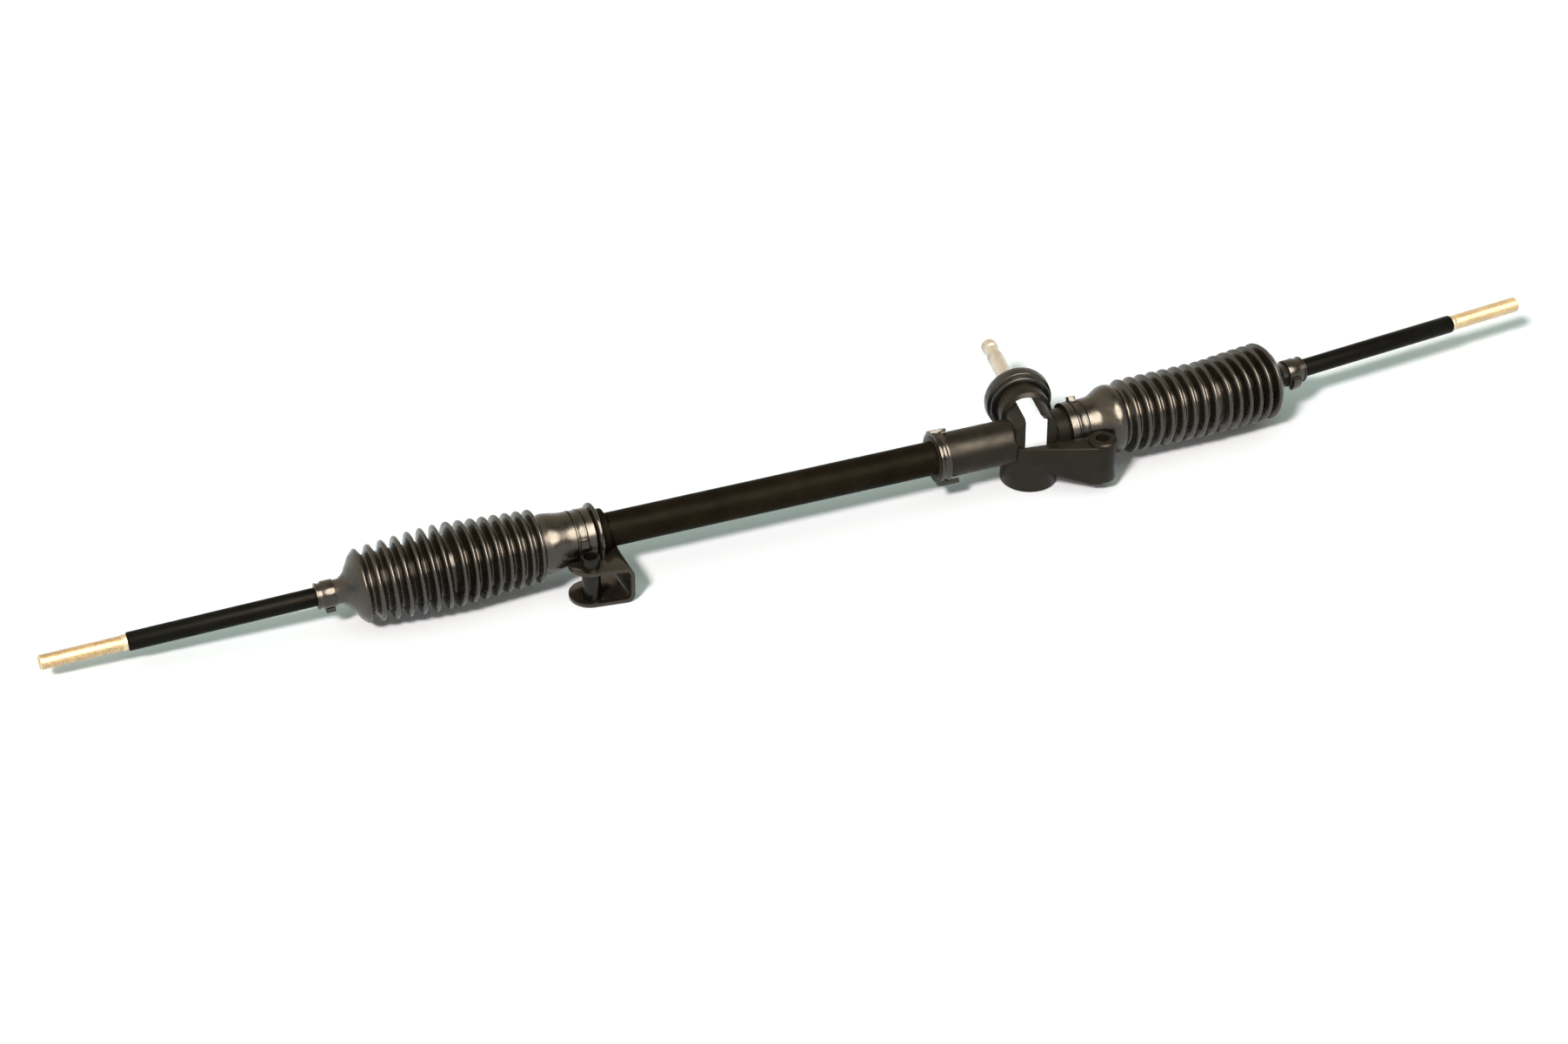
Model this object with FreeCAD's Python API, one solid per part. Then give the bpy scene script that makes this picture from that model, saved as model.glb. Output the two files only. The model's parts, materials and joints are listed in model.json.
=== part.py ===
import FreeCAD, Part
import math
import os

V = FreeCAD.Vector

# The rack axis runs along X, the pinion lies across it above, the guide boss points down.
# Lengths are in millimetres and X counts along the rack axis until the last shift.
table_z = -37.3
full_turn = 360.0
chamfer = 1.2

# rack tube, and the socket wall of the housing and end sleeve round it
tube_r = 13.0
tube_wall = 1.9
tube_left_x = -154.0
tube_socket_end_x = 165.0
socket_wall = 4.25
neck_r = tube_r + socket_wall
sleeve_left_x = -174.9
sleeve_right_x = -143.5
sleeve_lip = 2.0
sleeve_chamfer = 1.5
bush_length = 18.0
bush_chamfer = 0.6

# rack bar and its teeth
bar_gap = 1.1
bar_r = tube_r - tube_wall - bar_gap
bar_end_chamfer = 0.8
housing_bar_gap = 0.8
module_n = 1.75
pinion_teeth = 8
pressure_angle = 20.0
profile_shift = 0.55
gap_count_each_side = 14
backlash = 0.12
pinion_tip_r = 9.4
pinion_root_r = 5.84
rack_run_clear = 0.05

# mounting lug and arm of the housing
lug_x = 248.0
lug_y = -32.3
lug_r = 11.0
lug_top = 7.0
lug_bottom = -28.0
lug_hole_r = 5.25
arm_top = 4.0
arm_left_x = 184.0
arm_left_y = -19.5
arm_left_low = -11.0
arm_mid_x = 210.0
arm_mid_low = -19.5
arm_rear_y = -8.0
arm_boss_reach = 14.0
arm_edge_r = 1.5
arm_boot_gap = 0.7

# housing neck and bores along the rack
neck_left_x = 120.5
housing_right_x = 255.4
seat_groove_depth = 1.6
seat_groove_width = 7.0
seat_groove_in = 8.0
yoke_x = 202.0

# pinion barrel
pinion_rise = 3.5
pinion_height = bar_r + pinion_rise
pinion_tilt = 8.0
barrel_r = 17.0
barrel_front = -20.0
barrel_edge_r = 1.5
flank_turn = -45.0
flank_height = 15.7
mouth_r = 20.0
mouth_start = 9.0
mouth_flare = 3.0
mouth_end = 31.0
lower_bush_r = 8.0
lower_bush_start = -17.0
lower_bush_end = -11.5
chamber_r = 10.6
bearing_start = 12.6
bearing_width = 9.0
bearing_r = 16.0
circlip_groove_r = 17.3
circlip_thick = 1.4
circlip_play = 0.1
circlip_ring = 3.7
circlip_gap = 6.4

# guide boss under the pinion
boss_r = 21.8
boss_top = 2.0
yoke_r = 15.0
yoke_play = 0.04
yoke_top = -2.5
yoke_low = -26.5
plug_r = 16.4
plug_thick = 7.0
plug_recess = 1.2
plug_hex_r = 7.0
plug_hex_deep = 4.0
liner_thick = 1.2
liner_length = 18.0
liner_width = 16.8
ring_groove_z = -21.0
ring_groove_width = 2.6
ring_section_r = 1.1
spring_coil_r = 7.0
spring_wire_r = 1.35
spring_pocket_r = 9.2
spring_pocket_top = -16.0
spring_turns = 3.5

# tube bracket
bracket_x = -164.0
bracket_y = -29.0
plate_end_x = -163.0
plate_end_y = -24.0
plate_end_r = 16.5
plate_thick = 3.0
plate_top = -7.0
bend_r = 7.0
web_outer_x = -135.2
web_front_y = -44.0
web_rear_y = 4.0
collar_left_x = -153.2
collar_rise = 5.75
collar_edge = 0.8
notch_gap = 5.25
spacer_r = 7.0
spacer_bore_r = 5.25
spacer_top = 1.0

# ring clamp on the neck
ring_x = 125.5
ring_width = 8.0
ring_thick = 2.3
ring_r = neck_r + ring_thick
ring_rib = 1.0
ring_rib_width = 2.0
ring_turn = -30.0
foot_length = 16.5
foot_width = 6.0
foot_height = 4.9
block_length = 12.5
block_width = 10.0
block_height = 3.2

# pinion shaft
teeth_half = 10.4
lower_journal_r = 5.0
shoulder_r = 8.4
bearing_journal_r = 7.0
shaft_r = 6.4
shaft_end = 115.0
journal_play = 0.04
race_in_r = 9.3
race_out_r = 13.1
race_lap = 1.2
ball_r = 2.7
ball_count = 8
race_play = 0.03
cage_thick = 1.0
cage_width = 6.8
spline_length = 24.0
spline_count = 30
spline_deep = 0.5
clamp_groove_r = 5.4
clamp_groove_width = 8.0
clamp_groove_at = 98.0
seal_start_r = 9.0
seal_journal_r = 6.7
plain_shaft_start = 46.0
spline_tip_r = 6.2
helix_section_count = 3

# ball joints
ball_left_x = -270.0
ball_right_x = 350.5
joint_ball_r = 11.0
seat_thick = 2.6
joint_play = 0.05
socket_r = 17.0
socket_length = 27.0
socket_chamfer = 1.5
socket_nose = 3.2
washer_thick = 1.6
washer_r = 13.0
washer_tab = 4.0
socket_rim = 8.6
socket_open_r = 11.6
seat_open_r = 9.3
seat_flare = 3.4
wrench_flat = 14.6
wrench_length = 10.0
stub_r = 7.0
stub_length = 8.5

# tie rods
rod_length = 297.0
rod_r = 7.0
rod_neck_r = 5.6
rod_neck_length = 30.0
rod_neck_rise = 6.0
rod_thread_length = 60.0
rod_thread_r = 6.0
rod_end_chamfer = 1.0
left_yaw = 3.8
left_droop = 3.9
right_yaw = 6.5
right_droop = 0.0

# boots
boot_wall = 1.9
boot_fold_low_r = 22.0
fold_low_rise = 0.6
mitre_length = 3.0
left_pitch = 9.58
right_pitch = 9.43
left_inner_fold_count = 8
left_outer_fold_count = 7
right_inner_fold_count = 8
right_outer_fold_count = 6
left_inner_crest_r = 27.3
left_middle_crest_r = 32.0
left_outer_crest_r = 27.8
right_inner_crest_r = 27.9
right_middle_crest_r = 29.0
right_outer_crest_r = 30.0
crest_bulge = 1.5
left_shoulder_rise = 2.0
right_shoulder_rise = 0.6
left_boot_x = -155.0
right_boot_x = 230.1
boot_lip_thick = 3.05
boot_lip_r = neck_r + boot_lip_thick
boot_collar_r = 20.0
boot_neck_r = 9.4
clamp_zone = 21.0
band_seat_start = 6.5
band_seat_end = 14.5
band_seat_deep = 1.2
left_neck_start = 74.0
right_neck_start = 68.0
left_neck_end = 93.5
right_neck_end = 89.5
flare_length = 20.6
flare_top_length = 9.5
flare_end_gap = 2.5
flare_r = 26.6
clip_inset = 6.0
clip_length = 9.0
clip_thick = 1.0
clip_block_half = 6.0
clip_block_r = 14.0
left_clip_turn = 88.0
right_clip_turn = 112.0
band_inset = 6.8
band_width = 7.4
band_thick = 0.9
band_rib = 1.1
band_ear_length = 5.4
band_ear_half = 3.2
band_ear_height = 4.2
left_ear_turn = 74.0
right_ear_turn = -30.0
neck_play = 0.05

# dust cap
cap_start = 24.2
cap_skirt_end = 27.8
cap_end = 40.0
cap_rim_r = 26.2
cap_low_r = 22.3
cap_bead = 1.6
cap_face_r = 21.0
cap_shaft_play = 0.5

tilt = math.radians(pinion_tilt)
pinion_dir = V(math.sin(tilt), math.cos(tilt), 0)
pinion_at = V(yoke_x, 0, pinion_height)
along_x = V(1, 0, 0)
upward = V(0, 0, 1)
centre = V(0, 0, 0)
pinion_pitch_r = pinion_teeth * module_n / (2 * math.cos(tilt))
rack_line_z = pinion_height - pinion_pitch_r - profile_shift * module_n
rack_tip_z = rack_line_z + module_n
rack_root_z = rack_line_z - 1.25 * module_n
bearing_end = bearing_start + bearing_width

# length of the tools that cut right through a piece
reach = tube_socket_end_x - tube_left_x


def rod_direction(side, yaw, droop):
    a = math.radians(yaw)
    b = math.radians(droop)
    return V(side * math.cos(a) * math.cos(b), math.sin(a) * math.cos(b), -math.sin(b))


left_dir = rod_direction(-1, left_yaw, left_droop)
right_dir = rod_direction(1, right_yaw, right_droop)
left_ball = V(ball_left_x, 0, 0)
right_ball = V(ball_right_x, 0, 0)


def cylinder(r, start, end, at, direction):
    """Solid bar between two stations along a direction."""
    return Part.makeCylinder(r, end - start, at + direction * start, direction)


def turned(points, at, direction):
    """Solid of revolution from (station, radius) points."""
    ring = [V(p[0], p[1], 0) for p in points]
    ring.append(ring[0])
    face = Part.Face(Part.makePolygon(ring))
    body = face.revolve(centre, along_x, full_turn)
    body.Placement = FreeCAD.Placement(at, FreeCAD.Rotation(along_x, direction))
    return body


def hollow(r_out, r_in, start, end, at, direction):
    return turned([(start, r_in), (end, r_in), (end, r_out), (start, r_out)], at, direction)


def sphere(r, at, direction):
    """Ball whose poles lie on the given direction."""
    return Part.makeSphere(r, at, direction)


def box(x0, x1, y0, y1, z0, z1):
    return Part.makeBox(x1 - x0, y1 - y0, z1 - z0, V(x0, y0, z0))


def plate(points, z0, z1):
    """Upright prism over a plan outline."""
    ring = [V(p[0], p[1], z0) for p in points]
    ring.append(ring[0])
    return Part.Face(Part.makePolygon(ring)).extrude(V(0, 0, z1 - z0))


def front_plate(points, y0, y1):
    """Prism through Y over an outline in X and Z."""
    ring = [V(p[0], y0, p[1]) for p in points]
    ring.append(ring[0])
    return Part.Face(Part.makePolygon(ring)).extrude(V(0, y1 - y0, 0))


def joined(shapes):
    body = shapes[0].fuse(shapes[1:])
    return body.removeSplitter()


def arm_outline():
    """Plan of the arm: its front edge touches the lug's circle, its rear one clears the boot."""
    across = lug_y - lug_r - arm_left_y
    along = lug_x - arm_left_x
    size = math.hypot(across, along)
    front = (lug_x + lug_r * across / size, lug_y - lug_r * along / size)
    lug_rear = (lug_x - 0.3 * lug_r, lug_y + 0.8 * lug_r)
    lug_side = (lug_x + 0.9 * lug_r, lug_y)
    boot_side = (lug_x - 1.8 * lug_r, -boot_lip_r - arm_boot_gap)
    return [(arm_left_x, arm_left_y), front, lug_side, lug_rear, boot_side,
            (yoke_x + arm_boss_reach, arm_rear_y), (arm_left_x + 2 * arm_edge_r, arm_rear_y)]


def make_arm():
    lug = turned([(lug_bottom, 0), (lug_bottom, lug_r - chamfer), (lug_bottom + chamfer, lug_r),
                  (lug_top - chamfer, lug_r), (lug_top, lug_r - chamfer), (lug_top, 0)],
                 V(lug_x, lug_y, 0), upward)
    body = plate(arm_outline(), lug_bottom, arm_top)
    side = [(arm_left_x - arm_edge_r, arm_left_low), (arm_mid_x, arm_mid_low),
            (lug_x - lug_r, lug_bottom), (lug_x + lug_r, lug_bottom), (lug_x + lug_r, arm_top),
            (arm_left_x - arm_edge_r, arm_top)]
    body = body.common(front_plate(side, lug_y - 2 * lug_r, 0))
    top_front = [e for e in body.Edges if on_top_front(e)]
    return body.makeFillet(arm_edge_r, top_front).fuse(lug)


def on_top_front(edge):
    """True for the arm's long upper edge at the front."""
    a = edge.Vertexes[0].Point
    b = edge.Vertexes[-1].Point
    low_side = min(a.y, b.y) < lug_y - lug_r / 2 and max(a.y, b.y) > arm_left_y - 1
    return low_side and min(a.z, b.z) > arm_top - 1


def housing_cuts():
    """Bores for the tube, rack, pinion, bearing, guide and bolt."""
    at = pinion_at
    guide = V(yoke_x, 0, table_z)
    return [cylinder(tube_r, neck_left_x - 1, tube_socket_end_x, centre, along_x),
            cylinder(bar_r + housing_bar_gap, tube_socket_end_x - 1, housing_right_x + 1, centre, along_x),
            cylinder(lower_bush_r, lower_bush_start, lower_bush_end + 1, at, pinion_dir),
            cylinder(chamber_r, lower_bush_end, bearing_start + 1, at, pinion_dir),
            cylinder(bearing_r, bearing_start, mouth_end + 1, at, pinion_dir),
            cylinder(circlip_groove_r, bearing_end, bearing_end + circlip_thick, at, pinion_dir),
            Part.makeCylinder(yoke_r + yoke_play, -table_z, guide),
            Part.makeCylinder(plug_r, plug_thick + plug_recess, guide),
            Part.makeCylinder(lug_hole_r, reach, V(lug_x, lug_y, lug_bottom - 1))]


def make_housing():
    neck = turned([(neck_left_x, 0), (neck_left_x, neck_r - chamfer), (neck_left_x + chamfer, neck_r),
                   (housing_right_x - chamfer, neck_r), (housing_right_x, neck_r - chamfer),
                   (housing_right_x, 0)], centre, along_x)
    barrel = turned([(barrel_front, 0), (barrel_front, barrel_r - barrel_edge_r),
                     (barrel_front + barrel_edge_r, barrel_r), (mouth_start - mouth_flare + 1, barrel_r),
                     (mouth_start + 1, mouth_r), (mouth_end, mouth_r), (mouth_end, 0)],
                    pinion_at, pinion_dir)
    flank = box(barrel_front - 1, mouth_start - mouth_flare + 1, -barrel_r, barrel_r,
                flank_height, barrel_r + 1)
    flank.rotate(centre, along_x, flank_turn)
    seat = FreeCAD.Placement(pinion_at, FreeCAD.Rotation(along_x, pinion_dir))
    flank.Placement = seat.multiply(flank.Placement)
    barrel = barrel.cut(flank)
    boss = turned([(table_z, 0), (table_z, boss_r - chamfer), (table_z + chamfer, boss_r),
                   (boss_top, boss_r), (boss_top, 0)], V(yoke_x, 0, 0), upward)
    body = joined([neck, barrel, boss, make_arm()])
    cuts = housing_cuts()
    body = body.cut(cuts[0].fuse(cuts[1:]))
    groove_x = right_boot_x + seat_groove_in
    groove = hollow(neck_r + 1, neck_r - seat_groove_depth, groove_x, groove_x + seat_groove_width,
                    centre, along_x)
    return body.cut(groove).removeSplitter()


def make_tube():
    return hollow(tube_r, tube_r - tube_wall, tube_left_x, tube_socket_end_x, centre, along_x)


def make_end_sleeve():
    lip_r = tube_r - tube_wall + 1.0
    left = sleeve_left_x
    groove_end = left_boot_x - seat_groove_in
    groove_start = groove_end - seat_groove_width
    groove_r = neck_r - seat_groove_depth
    return turned([(left, lip_r), (left + sleeve_lip, lip_r), (left + sleeve_lip, tube_r),
                   (sleeve_right_x, tube_r), (sleeve_right_x, neck_r), (groove_end, neck_r),
                   (groove_end, groove_r), (groove_start, groove_r), (groove_start, neck_r),
                   (left + sleeve_chamfer, neck_r), (left, neck_r - sleeve_chamfer)],
                  centre, along_x)


def make_rack_bush():
    start = sleeve_left_x + sleeve_lip
    end = start + bush_length
    bore = bar_r + rack_run_clear
    edge = bush_chamfer
    return turned([(start, bore + edge), (start + edge, bore), (end - edge, bore), (end, bore + edge),
                   (end, tube_r), (start, tube_r)], centre, along_x)


def bends(body, x):
    """Edges that run across at the given X."""
    return [e for e in body.Edges if all(abs(v.X - x) < 0.01 for v in e.Vertexes)
            and abs(e.Vertexes[0].Z - e.Vertexes[-1].Z) < 0.01]


def make_bracket():
    """Channel bent from plate, open to the left, with a collar round the end sleeve."""
    web_inner_x = web_outer_x - plate_thick
    low = table_z + plate_thick
    high = plate_top - plate_thick
    outline = [(plate_end_x, plate_end_y - plate_end_r), (web_outer_x, web_front_y),
               (web_outer_x, web_rear_y), (plate_end_x, plate_end_y + plate_end_r)]
    full = plate(outline, table_z, plate_top)
    full = full.makeFillet(bend_r, bends(full, web_outer_x))
    full = full.fuse(Part.makeCylinder(plate_end_r, plate_top - table_z,
                                       V(plate_end_x, plate_end_y, table_z)))
    inside = box(plate_end_x - reach, web_inner_x, -reach, reach, low, high)
    inside = inside.makeFillet(bend_r - plate_thick, bends(inside, web_inner_x))
    notch = cylinder(neck_r + notch_gap, plate_end_x - reach, collar_left_x, centre, along_x)
    channel = full.cut(inside).cut(notch)
    end = collar_left_x + plate_thick
    top = neck_r + collar_rise
    collar = turned([(collar_left_x, neck_r), (collar_left_x, top - collar_edge),
                     (collar_left_x + collar_edge, top), (end - collar_edge, top),
                     (end, top - collar_edge), (end, neck_r)], centre, along_x)
    seat = cylinder(neck_r, collar_left_x - reach, sleeve_right_x, centre, along_x)
    tube_hole = cylinder(tube_r, sleeve_right_x - 1, web_outer_x + 1, centre, along_x)
    bolt = Part.makeCylinder(spacer_r, reach, V(bracket_x, bracket_y, table_z - 1))
    return joined([channel, collar]).cut(seat.fuse([tube_hole, bolt])).removeSplitter()


def make_spacer():
    return hollow(spacer_r, spacer_bore_r, 0, spacer_top - table_z,
                  V(bracket_x, bracket_y, table_z), V(0, 0, 1))


def make_ring_clamp():
    """Band with two ribs, a pinched block on top and a foot at the front."""
    half = ring_width / 2
    low = ring_r - ring_rib
    rib = half - ring_rib_width
    ring = turned([(-half, neck_r), (half, neck_r), (half, ring_r), (rib, ring_r),
                   (rib - 1, low), (1 - rib, low), (-rib, ring_r), (-half, ring_r)],
                  V(ring_x, 0, 0), along_x)
    left = ring_x - half
    foot = box(left, left + foot_length, -foot_width / 2, foot_width / 2,
               -neck_r - foot_height, -neck_r - ring_thick / 2)
    block = box(left, left + block_length, -block_width / 2, block_width / 2,
                neck_r + ring_thick / 3, neck_r + block_height)
    for piece in (foot, block):
        piece.rotate(centre, along_x, ring_turn)
    body = ring.fuse([foot, block])
    bore = cylinder(neck_r, ring_x - reach, ring_x + reach, centre, along_x)
    return body.cut(bore).removeSplitter()


def make_bearing_race(outer):
    middle = (race_in_r + race_out_r) / 2
    mid = (bearing_start + bearing_end) / 2
    if outer:
        body = hollow(bearing_r, race_out_r - race_lap, bearing_start, bearing_end, pinion_at, pinion_dir)
    else:
        body = hollow(race_in_r + race_lap, bearing_journal_r, bearing_start, bearing_end,
                      pinion_at, pinion_dir)
    track = Part.makeTorus(middle, ball_r + race_play, pinion_at + pinion_dir * mid, pinion_dir)
    return body.cut(track)


def make_bearing_balls():
    middle = (race_in_r + race_out_r) / 2
    mid = (bearing_start + bearing_end) / 2
    side = V(math.cos(tilt), -math.sin(tilt), 0)
    body = hollow(middle + cage_thick / 2, middle - cage_thick / 2, mid - cage_width / 2,
                  mid + cage_width / 2, pinion_at, pinion_dir)
    for i in range(ball_count):
        a = 2 * math.pi * i / ball_count
        at = pinion_at + pinion_dir * mid + side * (middle * math.cos(a))
        at = at + V(0, 0, middle * math.sin(a))
        body = body.fuse(Part.makeSphere(ball_r, at))
    return body


def make_lower_bush():
    return hollow(lower_bush_r, lower_journal_r + journal_play, lower_bush_start, lower_bush_end,
                  pinion_at, pinion_dir)


def make_circlip():
    body = hollow(circlip_groove_r - 2 * circlip_play, circlip_groove_r - 2 * circlip_play - circlip_ring,
                  bearing_end, bearing_end + circlip_thick - circlip_play, pinion_at, pinion_dir)
    gap = box(-circlip_gap / 2, circlip_gap / 2, 0, reach, 0, reach)
    gap.rotate(centre, upward, -pinion_tilt)
    gap.translate(pinion_at)
    return body.cut(gap)


def make_seal():
    start = bearing_end + circlip_thick
    lip = seal_journal_r + journal_play
    return turned([(start, seal_start_r), (start + 3.2, seal_start_r), (start + 3.6, lip),
                   (start + 4.6, lip), (start + 5.6, seal_start_r + 0.6), (start + 5.6, bearing_r),
                   (start, bearing_r)], pinion_at, pinion_dir)


def make_dust_cap():
    """Rubber cap with a bead at its front, a groove and a broad rounded rim."""
    bore = seal_journal_r + cap_shaft_play
    bead = cap_low_r + cap_bead
    rim_low = cap_skirt_end + 0.6
    return turned([(cap_start, mouth_r), (mouth_end, mouth_r), (mouth_end, bearing_r - 3.0),
                   (cap_end - 4.5, bore + 2.0), (cap_end - 1.0, bore), (cap_end + 1.5, bore),
                   (cap_end + 1.5, bore + 2.2), (cap_end, cap_face_r), (cap_end - 2.0, cap_rim_r - 0.6),
                   (cap_end - 4.5, cap_rim_r), (rim_low + 0.6, cap_rim_r - 0.5),
                   (rim_low, cap_low_r), (cap_skirt_end - 0.5, cap_low_r),
                   (cap_skirt_end - 1.0, bead), (cap_start + 0.8, bead), (cap_start, bead - 0.8)],
                  pinion_at, pinion_dir)


def involute(radius, base_r):
    a = math.acos(min(1.0, base_r / radius))
    return math.tan(a) - a


def flank_points(steps):
    """Radius and half angle of one pinion flank, from root to tip."""
    pressure_t = math.atan(math.tan(math.radians(pressure_angle)) / math.cos(tilt))
    base_r = pinion_pitch_r * math.cos(pressure_t)
    thick = math.pi * module_n / (2 * math.cos(tilt))
    thick = thick + 2 * profile_shift * module_n * math.tan(pressure_t) - backlash
    centre = thick / (2 * pinion_pitch_r) + math.tan(pressure_t) - pressure_t
    points = [(pinion_root_r, centre)]
    for i in range(steps + 1):
        r = base_r + (pinion_tip_r - base_r) * i / steps
        points.append((r, centre - involute(r, base_r)))
    return points


def gear_section(station):
    """Closed tooth outline across the pinion axis, turned with the helix."""
    twist = station * math.tan(tilt) / pinion_pitch_r
    flank = flank_points(4)
    root_half = flank[0][1]
    pitch = 2 * math.pi / pinion_teeth

    def at(r, angle):
        return V(station, r * math.sin(angle + twist), -r * math.cos(angle + twist))

    edges = []
    for i in range(pinion_teeth):
        mid = i * pitch
        rise = Part.BSplineCurve()
        rise.interpolate([at(r, mid - half) for r, half in flank])
        edges.append(rise.toShape())
        tip_half = flank[-1][1]
        tip = Part.Arc(at(pinion_tip_r, mid - tip_half), at(pinion_tip_r, mid),
                       at(pinion_tip_r, mid + tip_half))
        edges.append(tip.toShape())
        fall = Part.BSplineCurve()
        fall.interpolate([at(r, mid + half) for r, half in reversed(flank)])
        edges.append(fall.toShape())
        root = Part.Arc(at(pinion_root_r, mid + root_half), at(pinion_root_r, mid + pitch / 2),
                        at(pinion_root_r, mid + pitch - root_half))
        edges.append(root.toShape())
    return Part.Wire(edges)


def spline_grooves():
    """Straight grooves round the shaft's end for the column joint."""
    start = shaft_end - spline_length
    width = math.pi * spline_tip_r / spline_count
    deep = spline_tip_r - spline_deep
    groove = box(start, shaft_end + 1, -width / 2, width / 2, deep, spline_tip_r + 1)
    grooves = []
    for i in range(spline_count):
        one = groove.copy()
        one.rotate(centre, along_x, full_turn * i / spline_count)
        grooves.append(one)
    tool = Part.makeCompound(grooves)
    tool.Placement = FreeCAD.Placement(pinion_at, FreeCAD.Rotation(along_x, pinion_dir))
    return tool


def make_pinion():
    n = helix_section_count
    sections = [gear_section(teeth_half * k / n) for k in range(-n, n + 1)]
    teeth = Part.makeLoft(sections, True, False)
    side = upward.cross(pinion_dir)
    turn = FreeCAD.Rotation(pinion_dir, side, upward, "XZY")
    teeth.Placement = FreeCAD.Placement(pinion_at, turn)
    low = lower_bush_start + 0.5
    edge = 0.6
    groove_end = clamp_groove_at + clamp_groove_width
    spline_start = shaft_end - spline_length
    shaft = turned([(low, 0), (low, lower_journal_r - edge), (low + edge, lower_journal_r),
                    (-teeth_half - edge, lower_journal_r), (-teeth_half, pinion_root_r),
                    (teeth_half, pinion_root_r), (teeth_half, shoulder_r),
                    (bearing_start, shoulder_r), (bearing_start, bearing_journal_r),
                    (bearing_end + 0.5, bearing_journal_r),
                    (bearing_end + 0.8, seal_journal_r), (plain_shaft_start - 1, seal_journal_r),
                    (plain_shaft_start, shaft_r), (spline_start - edge, shaft_r),
                    (spline_start, spline_tip_r), (clamp_groove_at - 1, spline_tip_r),
                    (clamp_groove_at, clamp_groove_r), (groove_end, clamp_groove_r),
                    (groove_end + 1, spline_tip_r), (shaft_end - chamfer, spline_tip_r),
                    (shaft_end, spline_tip_r - chamfer), (shaft_end, 0)], pinion_at, pinion_dir)
    return teeth.fuse(shaft).cut(spline_grooves())


def make_yoke():
    body = Part.makeCylinder(yoke_r, yoke_top - yoke_low, V(yoke_x, 0, yoke_low))
    saddle_r = bar_r + rack_run_clear + liner_thick
    body = body.cut(cylinder(saddle_r, -yoke_r - 1, yoke_r + 1, V(yoke_x, 0, 0), along_x))
    body = body.cut(Part.makeCylinder(spring_pocket_r, spring_pocket_top - yoke_low,
                                      V(yoke_x, 0, yoke_low)))
    half = ring_groove_width / 2
    groove = hollow(yoke_r + 1, yoke_r + yoke_play - 2 * ring_section_r,
                    ring_groove_z - half, ring_groove_z + half, V(yoke_x, 0, 0), upward)
    return body.cut(groove)


def make_liner():
    low_r = bar_r + rack_run_clear
    shell = hollow(low_r + liner_thick, low_r, -liner_length / 2, liner_length / 2,
                   V(yoke_x, 0, 0), along_x)
    keep = box(yoke_x - liner_length, yoke_x + liner_length, -liner_width / 2, liner_width / 2,
               -reach, yoke_top)
    return shell.common(keep)


def make_yoke_ring():
    return Part.makeTorus(yoke_r + yoke_play - ring_section_r, ring_section_r,
                          V(yoke_x, 0, ring_groove_z), upward)


def make_spring():
    low = table_z + plug_recess + plug_thick + spring_wire_r
    high = spring_pocket_top - spring_wire_r
    pitch = (high - low) / spring_turns
    path = Part.makeHelix(pitch, high - low, spring_coil_r)
    rise = pitch / (2 * math.pi * spring_coil_r)
    ring = Part.Wire(Part.Circle(V(spring_coil_r, 0, 0), V(0, 1, rise), spring_wire_r).toShape())
    coil = Part.Wire(path).makePipeShell([ring], True, True)
    coil.translate(V(yoke_x, 0, low))
    return coil


def make_plug():
    base = table_z + plug_recess
    body = Part.makeCylinder(plug_r, plug_thick, V(yoke_x, 0, base))
    corners = [(yoke_x + plug_hex_r * math.cos(math.radians(60 * k)),
                plug_hex_r * math.sin(math.radians(60 * k))) for k in range(6)]
    return body.cut(plate(corners, base - 1, base + plug_hex_deep))


def make_rack_bar():
    left = ball_left_x + socket_length + washer_thick
    right = ball_right_x - socket_length - washer_thick
    edge = bar_end_chamfer
    bar = turned([(left, 0), (left, bar_r - edge), (left + edge, bar_r), (right - edge, bar_r),
                  (right, bar_r - edge), (right, 0)], centre, along_x)
    for at in (left - stub_length, right):
        bar = bar.fuse(cylinder(stub_r, at, at + stub_length, centre, along_x))
    span = (gap_count_each_side + 0.6) * math.pi * module_n
    bar = bar.cut(box(yoke_x - span, yoke_x + span, -reach, reach, rack_tip_z, reach))
    slope = math.tan(math.radians(pressure_angle))
    gap_half = math.pi * module_n / 4
    over = rack_tip_z + 0.5
    low = gap_half - slope * (rack_line_z - rack_root_z)
    high = gap_half + slope * (over - rack_line_z)
    cuts = []
    for k in range(-gap_count_each_side, gap_count_each_side + 1):
        x = yoke_x + k * math.pi * module_n
        cuts.append(front_plate([(x - low, rack_root_z), (x + low, rack_root_z),
                                 (x + high, over), (x - high, over)], -reach, reach))
    return bar.cut(Part.makeCompound(cuts))


def make_washer(ball, side):
    near = ball.x - side * socket_length
    a = min(near, near - side * washer_thick)
    body = hollow(washer_r, stub_r, 0, washer_thick, V(a, 0, 0), along_x)
    tab = box(a, a + washer_thick, washer_r - 1.0, wrench_flat + 1.5, -washer_tab, washer_tab)
    return body.fuse(tab)


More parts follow.
